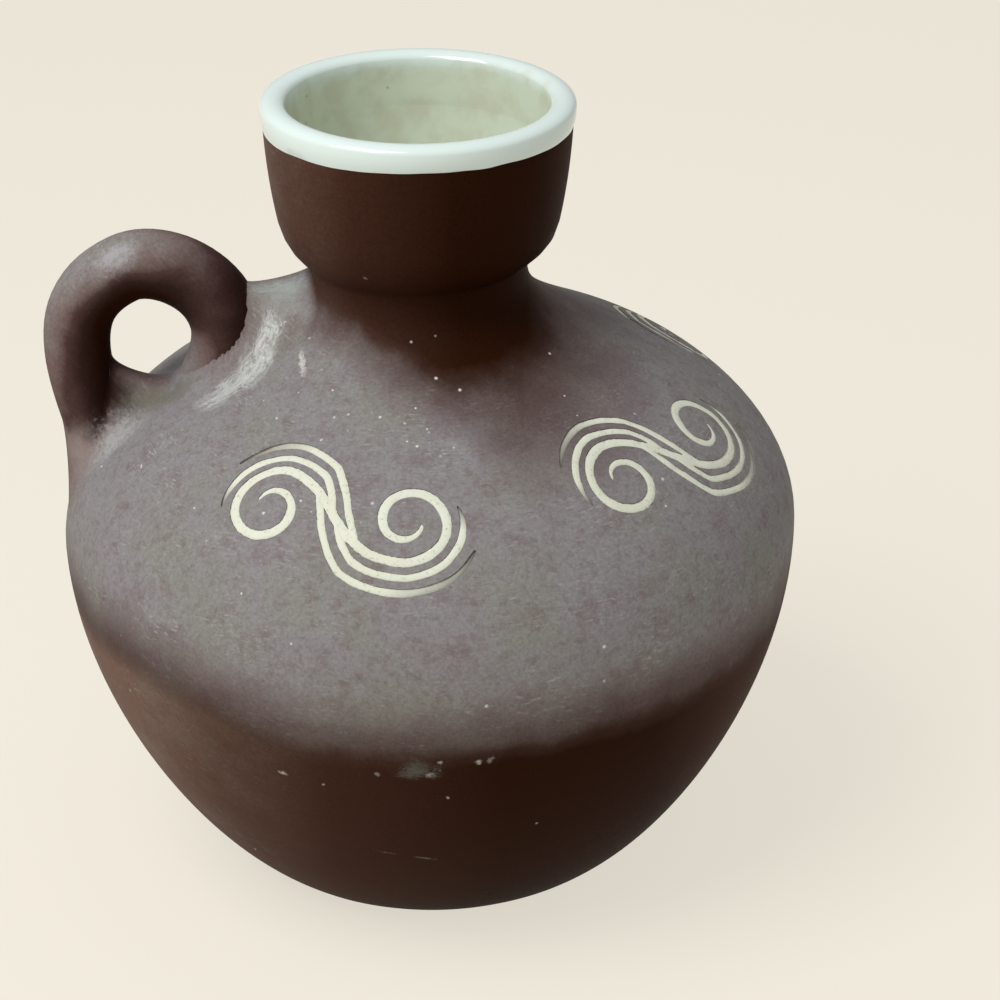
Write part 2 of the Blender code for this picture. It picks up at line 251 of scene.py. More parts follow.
def roll(
    name: str,
    rings: Sequence[Sequence[Vector]],
    ends_meet: bool = False,
    paint: tuple[str, Sequence[Sequence[float]]] | None = None,
) -> Piece:
    """Rolls a grid round a row of rings into one closed body.

    Args:
        name: the piece's name.
        rings: rings of points with as many points each.
        ends_meet: whether the last ring joins the first, as in a hoop.
        paint: name of an attribute for the finish, and its value for each point of each ring.

    Returns:
        The closed piece.
    """
    rows = [*rings, rings[0]] if ends_meet else list(rings)
    deselect()
    bpy.ops.mesh.primitive_grid_add(
        x_subdivisions=len(rows[0]), y_subdivisions=len(rows) - 1, size=0.01
    )
    piece = bpy.context.object
    piece.name = name
    spots = [spot for ring in rows for spot in (*ring, ring[0])]
    for vertex, spot in zip(piece.data.vertices, spots):
        vertex.co = spot
    if paint:
        attribute_name, shades = paint
        shaded = [*shades, shades[0]] if ends_meet else shades
        attribute = piece.data.attributes.new(attribute_name, "FLOAT", "POINT")
        attribute.data.foreach_set("value", [shade for row in shaded for shade in (*row, row[0])])
    close_up(piece, fill=not ends_meet)
    return piece


def join(pieces: Sequence[Piece], name: str) -> Piece:
    """Joins pieces into one mesh.

    Args:
        pieces: the pieces, which are used up.
        name: name of the joined piece.

    Returns:
        The joined piece.
    """
    pick(pieces[0])
    for piece in pieces[1:]:
        piece.select_set(True)
    bpy.ops.object.join()
    pieces[0].name = name
    return pieces[0]


def carve(piece: Piece, form: Piece) -> None:
    """Takes a form's room out of a piece.

    Args:
        piece: the piece that is cut.
        form: a closed mesh, which is used up.
    """
    modifier = piece.modifiers.new("cut", "BOOLEAN")
    modifier.operation = "DIFFERENCE"
    modifier.object = form
    modifier.solver = "MANIFOLD"
    pick(piece)
    bpy.ops.object.modifier_apply(modifier=modifier.name)
    bpy.data.objects.remove(form)


def smooth(piece: Piece, degrees: float) -> None:
    """Shades a piece smooth, with hard edges where it turns by more than an angle."""
    pick(piece)
    bpy.ops.object.shade_smooth_by_angle(angle=math.radians(degrees))


def dress(piece: Piece, finish: bpy.types.Material, nodes: Sequence[str]) -> None:
    """Gives a finished piece its material and its place in the frame.

    Args:
        piece: the finished mesh.
        finish: its material.
        nodes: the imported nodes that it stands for.
    """
    piece.data.materials.clear()
    piece.data.materials.append(finish)
    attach(piece, BODY)
    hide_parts(*nodes)
    LOG.info("%s: %d faces, %s", piece.name, len(piece.data.polygons), finish.name)


@dataclass(frozen=True)
class Knot:
    """A named place on a curve in a plane through the axis, with its heading and pulls there."""

    radius: float
    height: float
    heading: float
    pull_back: float = 0.0
    pull_on: float = 0.0

    @property
    def spot(self) -> Vector:
        """The place itself (radius, height)."""
        return Vector((self.radius, self.height))

    @property
    def along(self) -> Vector:
        """The direction in which the curve leaves, measured from the outward radius."""
        return Vector((math.cos(math.radians(self.heading)), math.sin(math.radians(self.heading))))

    @property
    def before(self) -> Vector:
        """The handle on the side that the curve comes from."""
        return self.spot - self.along * self.pull_back

    @property
    def after(self) -> Vector:
        """The handle on the side that the curve goes to."""
        return self.spot + self.along * self.pull_on


def curve_through(knots: Sequence[Knot], spacing: float) -> list[Vector]:
    """The curve between knots.

    Args:
        knots: the places that it goes through.
        spacing: about how far apart its points are, in metres.

    Returns:
        Points (radius, height).
    """
    points = [knots[0].spot]
    for start, end in zip(knots, knots[1:]):
        steps = max(5, round((end.spot - start.spot).length / spacing))
        handles = (start.spot, start.after, end.before, end.spot)
        points += interpolate_bezier(*handles, steps + 1)[1:]
    return points


def offset(line: Sequence[Vector], depths: Sequence[float]) -> list[Vector]:
    """A rising line moved inwards, square to itself.

    Args:
        line: points (radius, height).
        depths: how far each point moves.

    Returns:
        The moved points.
    """
    moved = []
    for index, (point, depth) in enumerate(zip(line, depths)):
        before = line[max(index - 1, 0)]
        after = line[min(index + 1, len(line) - 1)]
        along = (after - before).normalized()
        moved.append(point + depth * Vector((-along.y, along.x)))
    return moved


@dataclass(frozen=True)
class JugOutline:
    """The outside of the wall as the jug was thrown, and the wall's thickness from foot to lip."""

    foot: Knot = Knot(0.0369, 0.0, 33.3, pull_on=0.0175)
    widest: Knot = Knot(0.0700, 0.0671, 90.0, 0.0273, 0.0154)
    shoulder: Knot = Knot(0.0469, 0.0973, 153.1, 0.0070, 0.03016)
    waist: Knot = Knot(0.0200, 0.11995, 90.0, 0.0064, 0.0013)
    knee: Knot = Knot(0.0261, 0.12865, 78.3, 0.0065, 0.0050)
    rim: Knot = Knot(0.0285, 0.15025, 88.1, pull_back=0.0097)
    foot_wall: float = 0.0060
    lip_wall: float = 0.0033
    floor: float = 0.0075
    floor_round: float = 0.0012
    lean_angle: float = 1.84
    lean_blend: float = 0.0060

    def outside(self, spacing: float = 0.0019) -> list[Vector]:
        """The outside from the foot to the widest place of the rim."""
        knots = (self.foot, self.widest, self.shoulder, self.waist, self.knee, self.rim)
        return curve_through(knots, spacing)

    def inside(self, depth: float, spacing: float = 0.0024) -> list[Vector]:
        """The inside of the wall, a depth further in, from the axis at the floor up to the rim.

        Args:
            depth: metres inwards from the bare clay, as for a coat of glaze.
            spacing: metres between points.

        Returns:
            Points (radius, height), rising from the floor.
        """
        outer = self.outside(spacing)
        top = self.rim.height
        thin = self.lip_wall - self.foot_wall
        walls = [self.foot_wall + thin * spot.y / top + depth for spot in outer]
        floor = self.floor + depth
        rising = [spot for spot in offset(outer, walls) if spot.y > floor + self.floor_round / 2]
        corner = Vector((rising[0].x - self.floor_round, floor))
        middle = [Vector((corner.x * share, floor)) for share in (0.33, 0.66)]
        return [Vector((0.0, floor)), *middle, corner, *rising]

    def lean(self, piece: Piece) -> None:
        """Lets the cup of a piece settle a little out of true on the neck.

        Args:
            piece: the mesh, whose points above the waist move.
        """
        tangent = math.tan(math.radians(self.lean_angle))
        for vertex in piece.data.vertices:
            rise = vertex.co.z - self.waist.height
            if rise > 0:
                vertex.co.z -= tangent * min(1.0, rise / self.lean_blend) * vertex.co.x
                vertex.co.x += rise * tangent

    def form(self, inset: float) -> Piece:
        """A solid of the body and neck to trim other pieces with.

        Args:
            inset: how far inside the bare clay its face lies, in metres.

        Returns:
            The solid.
        """
        outer = [spot for spot in self.outside() if spot.y <= self.waist.height]
        inner = offset(outer, [inset] * len(outer))
        foot = Vector((0.0, inner[0].y))
        top = Vector((0.0, inner[-1].y))
        return turn("trimming form", [foot, *inner, top], steps=160)


@dataclass(frozen=True)
class ScrollDrawing:
    """One S-scroll on the shoulder with echo lines round its curls, in metres on the clay.

    A point of it is (along, up): the distance round the jug from the scroll's middle, and the
    distance up the wall from the middle line.
    """

    run: float = 0.0310
    reach: float = 0.0130
    curl_radius: float = 0.0078
    curl_end_radius: float = 0.0026
    curl_turn: float = 430.0
    echo_turns: tuple[float, float] = (105.0, 60.0)
    echo_starts: tuple[float, float] = (0.50, 0.25)
    echo_spacing: float = 0.0028
    widths: tuple[float, float, float] = (0.0018, 0.0014, 0.0014)
    depths: tuple[float, float, float] = (0.0011, 0.0009, 0.0007)
    spacing: float = 0.00055

    def curl(self, turn_degrees: float, outset: float) -> list[Vector]:
        """The right-hand curl from its lowest point.

        Args:
            turn_degrees: how far it goes round.
            outset: how far outside the curl it runs.

        Returns:
            Points (along, up).
        """
        steps = max(4, round(math.radians(turn_degrees) * self.curl_radius / self.spacing))
        line = []
        for step in range(steps + 1):
            degrees = turn_degrees * step / steps
            narrowing = (self.curl_end_radius - self.curl_radius) * degrees / self.curl_turn
            radius = self.curl_radius + narrowing + outset
            angle = math.radians(degrees - 90)
            line.append(Vector((self.reach + radius * math.cos(angle), radius * math.sin(angle))))
        return line

    def link(self) -> list[Vector]:
        """The long curve from the left curl's highest point to the right curl's lowest."""
        end = Vector((self.reach, -self.curl_radius))
        pull = Vector((self.reach, 0.0))
        steps = round(3 * self.reach / self.spacing)
        return interpolate_bezier(-end, -end + pull, end - pull, end, steps + 1)

    def strokes(self) -> list[tuple[list[Vector], float, float]]:
        """Every stroke of the scroll as a line, a width and a depth, the main line first."""
        curl = self.curl(self.curl_turn, 0.0)
        link = self.link()
        main_line = [*(-spot for spot in reversed(curl[1:])), *link, *curl[1:]]
        drawn = [(main_line, self.widths[0], self.depths[0])]
        for number, (turned, share) in enumerate(zip(self.echo_turns, self.echo_starts), start=1):
            outset = number * self.echo_spacing
            beside = link[round(share * (len(link) - 1)) :]
            grow = self.echo_spacing * 4 / len(link)
            spread = [-min(outset, step * grow) for step in range(len(beside))]
            echo = [*offset(beside, spread), *self.curl(turned, outset)[1:]]
            for line in (echo, [-spot for spot in echo]):
                drawn.append((line, self.widths[number], self.depths[number]))
        return drawn


@dataclass
class ShoulderWork:
    """Lays drawn lines on the shoulder and gives them the uneven edge of a hand-held tool."""

    outline: JugOutline
    drawing: ScrollDrawing
    wander: float = 0.00016
    wander_length: float = 0.0045
    tip: float = 0.22
    tip_rise: float = 2.2
    tip_round: float = 0.6
    width_seed: float = 7.0
    side_seed: float = 9.0
    fray_scale: float = 900.0
    rising: list[Vector] = field(init=False)

    def __post_init__(self) -> None:
        """Keeps the stretch of the outside above the widest line."""
        line = self.outline.outside(spacing=0.0008)
        self.rising = [spot for spot in line if spot.y >= self.outline.widest.height - 1e-6]

    def spot(self, azimuth: float, run: float) -> tuple[Vector, Vector]:
        """A place on the shoulder and the direction out of the clay there.

        Args:
            azimuth: radians round the axis.
            run: metres up the wall from the widest line.

        Returns:
            The place and the outward normal.
        """
        left = run
        for low, high in zip(self.rising, self.rising[1:]):
            step = (high - low).length
            if left <= step:
                break
            left -= step
        flat = low.lerp(high, left / step)
        normal = Vector((high.y - low.y, low.x - high.x)).normalized()
        out = Vector((math.cos(azimuth), math.sin(azimuth), 0.0))
        return out * flat.x + Vector((0, 0, flat.y)), out * normal.x + Vector((0, 0, normal.y))

    def drift(self, place: Vector, seed: float) -> float:
        """How far the tool strays at a place, in metres, the same on every run."""
        return self.wander * noise.noise(place / self.wander_length + Vector((seed, 0, 0)))

    def rings(
        self,
        line: Sequence[Vector],
        azimuth: float,
        section: Sequence[tuple[float, float]],
        width: float,
        ragged: float = 0.0,
        levels: Sequence[float] | None = None,
    ) -> list[list[Vector]]:
        """Rings of a stroke's section along a line on the shoulder.

        Args:
            line: points (along, up) of the drawing.
            azimuth: degrees to the scroll's middle.
            section: points (across in half widths, metres out of the clay).
            width: the stroke's full width in metres.
            ragged: metres by which each edge frays on its own.
            levels: metres out of the clay added for each point of the line.

        Returns:
            One ring of points for each point of the line.
        """
        girth = self.spot(0.0, self.drawing.run)[0].x
        start = math.radians(azimuth)
        places = [self.spot(start + at.x / girth, self.drawing.run + at.y) for at in line]
        rings = []
        for index, (place, normal) in enumerate(places):
            before = places[max(index - 1, 0)][0]
            after = places[min(index + 1, len(places) - 1)][0]
            across = (after - before).cross(normal).normalized()
            centre = place + across * self.drift(place, 0.0)
            share = index / (len(places) - 1)
            fullness = min(1.0, math.sin(math.pi * share) * self.tip_rise) ** self.tip_round
            swell = self.tip + (1 - self.tip) * fullness
            half = width / 2 * swell + 0.5 * self.drift(place, self.width_seed)
            level = levels[index] if levels else 0.0
            ring = []
            for side, out in section:
                spot = place * self.fray_scale + Vector((0, 0, self.side_seed * side))
                frayed = ragged * noise.noise(spot)
                reach = side * half + math.copysign(frayed, side) * (abs(side) > 0.5)
                ring.append(centre + across * reach + normal * (out + level))
            rings.append(ring)
        return rings


@dataclass
class ThrownBody:
    """The clay wall from foot to lip, turned in one piece, with the scrolls cut in its shoulder."""

    outline: JugOutline
    work: ShoulderWork
    azimuths: Mapping[str, float]
    steps: int = 240
    foot_round: float = 0.0008
    foot_rise: float = 0.0004
    foot_tuck: float = 0.00012
    bead_room: float = 0.0005

    def section(self) -> list[Vector]:
        """The closed section of the wall, from the middle of the base round to the floor."""
        outer = self.outline.outside()
        foot = self.outline.foot
        under = [Vector((foot.radius * share, 0.0)) for share in (0.0, 0.25, 0.5, 0.75, 0.9)]
        corner = [foot.spot - Vector((self.foot_round, 0.0)), foot.spot + foot.along * self.foot_rise]
        corner[1].x -= self.foot_tuck
        wall = [spot for spot in outer if spot.y > self.foot_round]
        lip = outer[-1] - Vector((self.bead_room, 0.0))
        lining = self.outline.inside(-self.bead_room)
        return [*under, *corner, *wall[:-1], lip, *reversed(lining)]

    def cutter(self, azimuth: float, line: list[Vector], width: float, depth: float) -> Piece:
        """The room that one stroke of the tool takes out of the clay.

        Args:
            azimuth: degrees to the scroll's middle.
            line: points (along, up) of the drawing.
            width: the stroke's full width in metres.
            depth: how deep it goes.

        Returns:
            A closed mesh.
        """
        section = (
            (-1.12, 0.0006),
            (1.12, 0.0006),
            (0.98, -0.35 * depth),
            (0.62, -0.86 * depth),
            (0.0, -depth),
            (-0.62, -0.86 * depth),
            (-0.98, -0.35 * depth),
        )
        return roll("tool", self.work.rings(line, azimuth, section, width))

    def build(self) -> Piece:
        """Turns the wall, cuts every stroke and settles the cup."""
        body = turn("thrown_body", self.section(), self.steps)
        for azimuth in self.azimuths.values():
            for line, width, depth in self.work.drawing.strokes():
                carve(body, self.cutter(azimuth, line, width, depth))
        self.outline.lean(body)
        smooth(body, degrees=32)
        return body


@dataclass
class ScrollSlip:
    """The cream slip that was pressed into one scroll's grooves and scraped nearly level."""

    work: ShoulderWork
    place: str
    azimuth: float
    level: float = -0.00012
    unevenness: float = 0.00012
    ragged: float = 0.00024
    starved: float = 0.0003
    near_runs_out: float = 0.88
    far_runs_out: float = 0.70
    sway_scale: float = 400.0

    def shortage(self, share: float, number: int) -> float:
        """How far the slip has run out at a share of a stroke: never in the main line, number 0."""
        last = self.far_runs_out if number > 2 else self.near_runs_out
        return min(1.0, max(0.0, share - last) / (1 - last)) if number else 0.0

    def levels(self, line: Sequence[Vector], number: int) -> list[float]:
        """Height of the slip along a stroke: uneven, and lower where it has run out.

        Args:
            line: points (along, up) of the stroke.
            number: the stroke's number in the drawing.

        Returns:
            Metres out of the clay for each point.
        """
        heights = []
        for index, at in enumerate(line):
            short = self.shortage(index / (len(line) - 1), number)
            sway = self.unevenness * noise.noise(Vector((at.x, at.y, self.azimuth)) * self.sway_scale)
            heights.append(self.level + sway - self.starved * short)
        return heights

    def build(self) -> Piece:
        """Presses a crowned strip into each stroke and joins them."""
        strips = []
        for number, (line, width, depth) in enumerate(self.work.drawing.strokes()):
            section = (
                (-0.90, -0.00006),
                (-0.55, 0.00003),
                (0.0, 0.00005),
                (0.55, 0.00003),
                (0.90, -0.00006),
                (0.6, -depth - 0.0003),
                (-0.6, -depth - 0.0003),
            )
            levels = self.levels(line, number)
            rings = self.work.rings(line, self.azimuth, section, width, self.ragged, levels)
            shares = [index / (len(line) - 1) for index in range(len(line))]
            starved = [[self.shortage(share, number)] * len(section) for share in shares]
            strips.append(roll("strip", rings, paint=("starved", starved)))
        slip = join(strips, f"scroll_slip_{self.place}")
        smooth(slip, degrees=50)
        return slip


@dataclass
class RingHandle:
    """The pulled coil of clay that rises from the shoulder, turns over and comes down outside."""

    outline: JugOutline
    inner: Knot = Knot(0.0382, 0.0997, 115.0, 0.0033, 0.0166)
    crown: Knot = Knot(0.05478, 0.12035, -23.7, 0.0082, 0.0166)
    outer: Knot = Knot(0.0603, 0.0806, -102.5, 0.0184, 0.0033)
    tail: float = 0.0100
    thick: float = 0.0070
    slim: float = 0.0059
    sink: float = 0.0012
    taper_shares: tuple[float, ...] = (0.0, 0.08, 0.5, 0.92, 1.0)

    def knots(self) -> list[Knot]:
        """The knots of the coil's centre line with a straight tail at each end."""
        first = self.inner.spot - self.inner.along * self.tail
        last = self.outer.spot + self.outer.along * self.tail
        start = Knot(first.x, first.y, self.inner.heading, 0.0033, 0.0033)
        end = Knot(last.x, last.y, self.outer.heading, 0.0033, 0.0033)
        return [start, self.inner, self.crown, self.outer, end]

    def radius(self, share: float) -> float:
        """The coil's radius at a share of its length."""
        return self.thick + (self.slim - self.thick) * share

    def build(self) -> Piece:
        """Draws the centre line as a curve with a round bevel and trims it inside the shoulder."""
        deselect()
        bpy.ops.curve.primitive_bezier_curve_add()
        coil = bpy.context.object
        coil.name = "ring_coil"
        knots = self.knots()
        points = coil.data.splines[0].bezier_points
        points.add(len(knots) - len(points))
        for point, knot, share in zip(points, knots, self.taper_shares):
            point.handle_left_type = point.handle_right_type = "FREE"
            point.co = (-knot.radius, 0.0, knot.height)
            point.handle_left = (-knot.before.x, 0.0, knot.before.y)
            point.handle_right = (-knot.after.x, 0.0, knot.after.y)
            point.radius = self.radius(share) / self.thick
        coil.data.dimensions = "3D"
        coil.data.resolution_u = 26
        coil.data.bevel_depth = self.thick
        coil.data.bevel_resolution = 12
        coil.data.use_fill_caps = True
        bpy.ops.object.convert(target="MESH")
        close_up(coil)
        carve(coil, self.outline.form(self.sink))
        smooth(coil, degrees=60)
        return coil


class Root(Enum):
    """The two ends of the handle."""

    UPPER = "upper"
    LOWER = "lower"


@dataclass(frozen=True)
class Reach:
    """How far a fillet climbs the coil and runs out on the wall, and how closely it hugs the corner."""

    rise: float
    run: float
    hug: float

    def toward(self, other: Reach, share: float) -> Reach:
        """The reach on the way to another.

        Args:
            other: the other reach.
            share: how much of the way.

        Returns:
            The reach there.
        """
        rise = self.rise + (other.rise - self.rise) * share
        run = self.run + (other.run - self.run) * share
        return Reach(rise, run, self.hug + (other.hug - self.hug) * share)


@dataclass
class RootLuting:
    """The slip wiped round one root of the handle, which rounds the corner to the shoulder."""

    handle: RingHandle
    root: Root
    hole: Reach
    flank: Reach
    far: Reach
    around: int = 144
    across: int = 16
    sink: float = 0.00003
    bite: float = 0.00003
    depth: float = 0.0008

    def centre_line(self) -> list[tuple[Vector, Vector, float]]:
        """The coil's centre from the crown to this root: places, directions and radii."""
        knots = self.handle.knots()
        line = curve_through(knots, spacing=0.0005)
        crown = min(range(len(line)), key=lambda index: (line[index] - knots[2].spot).length)
        samples = []
        for index, spot in enumerate(line):
            before = line[max(index - 1, 0)]
            after = line[min(index + 1, len(line) - 1)]
            along = (after - before).normalized()
            share = self.share(index, crown, len(line))
            place = Vector((-spot.x, 0.0, spot.y))
            samples.append((place, Vector((-along.x, 0.0, along.y)), self.handle.radius(share)))
        if self.root is Root.UPPER:
            return list(reversed(samples[: crown + 1]))
        return samples[crown:]

    @staticmethod
    def share(index: int, crown: int, count: int) -> float:
        """Share of the taper at a point, which is half used up at the crown.

        Args:
            index: the point's number.
            crown: the number of the crown's point.
            count: how many points the centre line has.

        Returns:
            A share from 0 to 1.
        """
        if index <= crown:
            return 0.5 * index / crown
        return 0.5 + 0.5 * (index - crown) / (count - 1 - crown)

    def reach(self, angle: float) -> Reach:
        """The fillet's reach at an angle round the coil, measured from the side of the ring's hole."""
        side = self.hole if math.cos(angle) > 0 else self.far
        return self.flank.toward(side, math.cos(angle) ** 2)

    def build(self, body: Piece) -> Piece:
        """Lays a fillet from the coil to the clay all round the root.

        Args:
            body: the wall that the root stands on, before the cup leans.

        Returns:
            The closed ring of slip, which keeps in an attribute how far each point has climbed.
        """
        wall = BVHTree.FromObject(body, bpy.context.evaluated_depsgraph_get())
        samples = self.centre_line()
        rings = []
        for step in range(self.around):
            rings.append(self.ring(wall, samples, math.tau * step / self.around))
        # The face runs from the coil, at one, down to the wall, at zero. The buried back returns.
        climb = [1 - index / (self.across - 1) for index in range(self.across)] + [0.0, 0.5, 1.0]
        paint = ("climb", [climb] * self.around)
        luting = roll(f"{self.root.value}_root_luting", rings, ends_meet=True, paint=paint)
        smooth(luting, degrees=60)
        return luting

    def ring(
        self, wall: BVHTree, samples: Sequence[tuple[Vector, Vector, float]], angle: float
    ) -> list[Vector]:
        """The closed section of the fillet at an angle round the coil.

        Args:
            wall: the clay's surface.
            samples: the coil's centre line towards the root.
            angle: radians round the coil.

        Returns:
            A ring of points: the fillet's face from the coil to the wall, then its buried back.
        """
        rows = []
        for place, along, radius in samples:
            side = along.cross(Vector((0, 1, 0))).normalized()
            out = math.cos(angle) * side + math.sin(angle) * Vector((0, 1, 0))
            rows.append((place + out * radius, out, place))
        meet = next(index for index, row in enumerate(rows) if self.height(wall, row[0]) < 0)
        above, below = rows[meet - 1], rows[meet]
        high, low = self.height(wall, above[0]), self.height(wall, below[0])
        share = high / (high - low)
        crease = above[0].lerp(below[0], share)
        foot, normal = wall.find_nearest(crease)[:2]
        outwards = crease - above[2].lerp(below[2], share)
        outwards = (outwards - normal * outwards.dot(normal)).normalized()
        reach = self.reach(angle)
        back = meet
        gone = 0.0
        while back > 0 and gone < reach.rise:
            gone += (rows[back][0] - rows[back - 1][0]).length
            back -= 1
        over = (gone - reach.rise) / max(1e-9, (rows[back + 1][0] - rows[back][0]).length)
        start_out = rows[back][1]
        start = rows[back][0].lerp(rows[back + 1][0], min(1.0, max(0.0, over))) - start_out * self.bite
        end, end_normal = self.walk(wall, foot, outwards, reach.run)
        end = end - end_normal * self.sink
        corner = crease + (start_out + normal) * self.bite
        pulls = (start.lerp(corner, reach.hug), end.lerp(crease, reach.hug))
        fillet = interpolate_bezier(start, *pulls, end, self.across)
        under = [
            end - end_normal * self.depth,
            crease - normal * self.depth * 1.5 - outwards * self.depth,
            start - start_out * self.depth,
        ]
        return [*fillet, *under]

    @staticmethod
    def walk(wall: BVHTree, foot: Vector, heading: Vector, distance: float) -> tuple[Vector, Vector]:
        """Goes straight on over the wall.

        Args:
            wall: the clay's surface.
            foot: where the walk starts.
            heading: its direction.
            distance: how far it goes, in metres.

        Returns:
            The place where it ends and the normal there.
        """
        steps = 24
        place, normal = wall.find_nearest(foot)[:2]
        for _ in range(steps):
            heading = (heading - normal * heading.dot(normal)).normalized()
            place, normal = wall.find_nearest(place + heading * distance / steps)[:2]
        return place, normal

    @staticmethod
    def height(wall: BVHTree, place: Vector) -> float:
        """How far a place stands out of the clay."""
        foot, normal = wall.find_nearest(place)[:2]
        return (place - foot).dot(normal)


@dataclass
class LipBead:
    """The thick white glaze that runs over the lip and breaks to the lining inside."""

    outline: JugOutline
    thickness: float = 0.00034
    swells: tuple[float, ...] = (-0.3, 0.45, 1.0, 1.15, 1.1, 1.0)
    upper_swell: float = 0.85
    skirt: float = 0.0050
    inside_skirt: float = 0.0100
    proud: float = 0.00018
    bed: float = 0.00006
    crown: float = 0.0014
    crown_steps: int = 14
    edge_height: float = 0.0032
    edge_tilt: float = 0.0005
    edge_wander: float = 0.00035
    wander_scale: float = 4.5
    throat: float = 0.0262
    steps: int = 240

    def section(self) -> list[Vector]:
        """The closed section, from the lower edge outside over the lip to the edge inside."""
        rim = self.outline.rim
        outer = [spot for spot in self.outline.outside(spacing=0.0008) if spot.y > rim.height - self.skirt]
        swells = [*self.swells, *[self.upper_swell] * len(outer)][: len(outer)]
        face = offset(outer, [-self.thickness * swell for swell in swells])
        glazed = self.outline.inside(depth=0.0009, spacing=0.0012)
        inner = [spot for spot in glazed if spot.y > rim.height - self.inside_skirt]
        shares = [index / (len(inner) - 1) for index in range(len(inner))]
        inner = offset(inner, [self.proud * min(1.0, share * 3) - self.bed for share in shares])
        middle = (face[-1].x + inner[-1].x) / 2
        half = (face[-1].x - inner[-1].x) / 2
        over = []
        for step in range(1, self.crown_steps):
            angle = math.pi * step / self.crown_steps
            rise = self.crown * math.sin(angle)
            over.append(Vector((middle + half * math.cos(angle), rim.height + rise)))
        # The bead's back lies about a millimetre inside the clay of the lip.
        back_out = Vector((outer[0].x - 0.0009, outer[0].y + 0.0008))
        core_out = Vector((rim.radius - 0.0012, rim.height - 0.0006))
        core_in = Vector((inner[-1].x + 0.0010, rim.height - 0.0006))
        back_in = Vector((inner[0].x + 0.0010, inner[0].y + 0.0006))
        return [*face, *over, *reversed(inner), back_in, core_in, core_out, back_out]

    def build(self) -> Piece:
        """Turns the bead, lets its lower edge wander and settles it with the cup."""
        bead = turn("lip_glaze_bead", self.section(), self.steps)
        edge = self.outline.rim.height - self.skirt
        for vertex in bead.data.vertices:
            share = 1 - min(1.0, max(0.0, (vertex.co.z - edge) / self.edge_height))
            azimuth = math.atan2(vertex.co.y, vertex.co.x)
            around = Vector((math.cos(azimuth), math.sin(azimuth), 0.0))
            wander = self.edge_wander * noise.noise(around * self.wander_scale)
            wave = self.edge_tilt * (around.x - around.y) + wander
            if vertex.co.z < edge + self.edge_height and vertex.co.xy.length > self.throat:
                vertex.co.z += wave * share
        self.outline.lean(bead)
        smooth(bead, degrees=60)
        return bead


@dataclass
class Lining:
    """The glaze poured round the inside: one skin from under the bead to the floor."""

    outline: JugOutline
    depth: float = 0.0009
    bed: float = -0.0003
    top_room: float = 0.0015
    steps: int = 192

    def section(self) -> list[Vector]:
        """The closed section between the glaze's face and its back in the clay."""
        top = self.outline.rim.height - self.top_room
        face = [spot for spot in self.outline.inside(self.depth) if spot.y < top]
        back = [spot for spot in self.outline.inside(self.bed) if spot.y < top]
        return [*back, *reversed(face)]

    def build(self) -> Piece:
        """Turns the lining and settles it with the cup."""
        lining = turn("mouth_lining_glaze", self.section(), self.steps)
        self.outline.lean(lining)
        smooth(lining, degrees=60)
        return lining


@dataclass(frozen=True)
class Mark:
    """A stretch of slip, dirt, scraping, painted shadow or painted sheen on the clay, from one place to
    another.
    """

    start: tuple[float, float, float]
    end: tuple[float, float, float]
    half_width: float
    strength: float
    colour: str
    broken: float = 3.8
    stray: float = 0.0025

    def share(self, tree: Tree, place: Source, wavy: Source, grain: Source) -> Source:
        """How much of the mark lies at a place: strokes along it, broken up towards its edge.

        Args:
            tree: the material's tree.
            place: Object coordinates.
            wavy: a colour noise that bends the mark's outline.
            grain: fine noise that breaks up a mark too small for strokes of its own.

        Returns:
            A share from 0 to the mark's strength.
        """
        start, end = Vector(self.start), Vector(self.end)
        either_way = {"operation": "MULTIPLY_ADD", 1: (2 * self.stray,) * 3, 2: (-self.stray,) * 3}
        stray = add_node(tree, "VectorMath", either_way, {0: wavy})
        moved = add_node(tree, "VectorMath", {"operation": "ADD"}, {0: place, 1: stray})
        laid_along = {
            "vector_type": "TEXTURE",
            "Location": start.lerp(end, 0.5),
            "Rotation": (end - start).to_track_quat("X", "Z").to_euler(),
            "Scale": ((end - start).length / 2 + self.half_width, self.half_width, self.half_width * 2),
        }
        local = add_node(tree, "Mapping", laid_along, {"Vector": moved})
        middle = add_node(tree, "TexGradient", {"gradient_type": "SPHERICAL"}, {"Vector": local})
        centre = middle.outputs["Fac"]
        strokes = grain
        if self.half_width > BRUSHED_WIDTH:
            along = add_node(tree, "Mapping", {"Scale": (4.5, 9.0, 9.0)}, {"Vector": local})
            bristles = {"Scale": 1.0, "Detail": 5.0, "Roughness": 0.75}
            strokes = add_node(tree, "TexNoise", bristles, {"Vector": along})
        torn = {"operation": "MULTIPLY_ADD", 1: self.broken, 2: -0.5 * self.broken}
        gaps = add_node(tree, "Math", torn, {0: strokes})
        left = add_node(tree, "Math", {"operation": "MULTIPLY_ADD"}, {0: centre, 1: gaps, 2: centre})
        edge = {"interpolation_type": "SMOOTHSTEP", "From Min": 0.22, "From Max": 0.95}
        return add_node(tree, "MapRange", edge | {"To Max": self.strength}, {"Value": left})


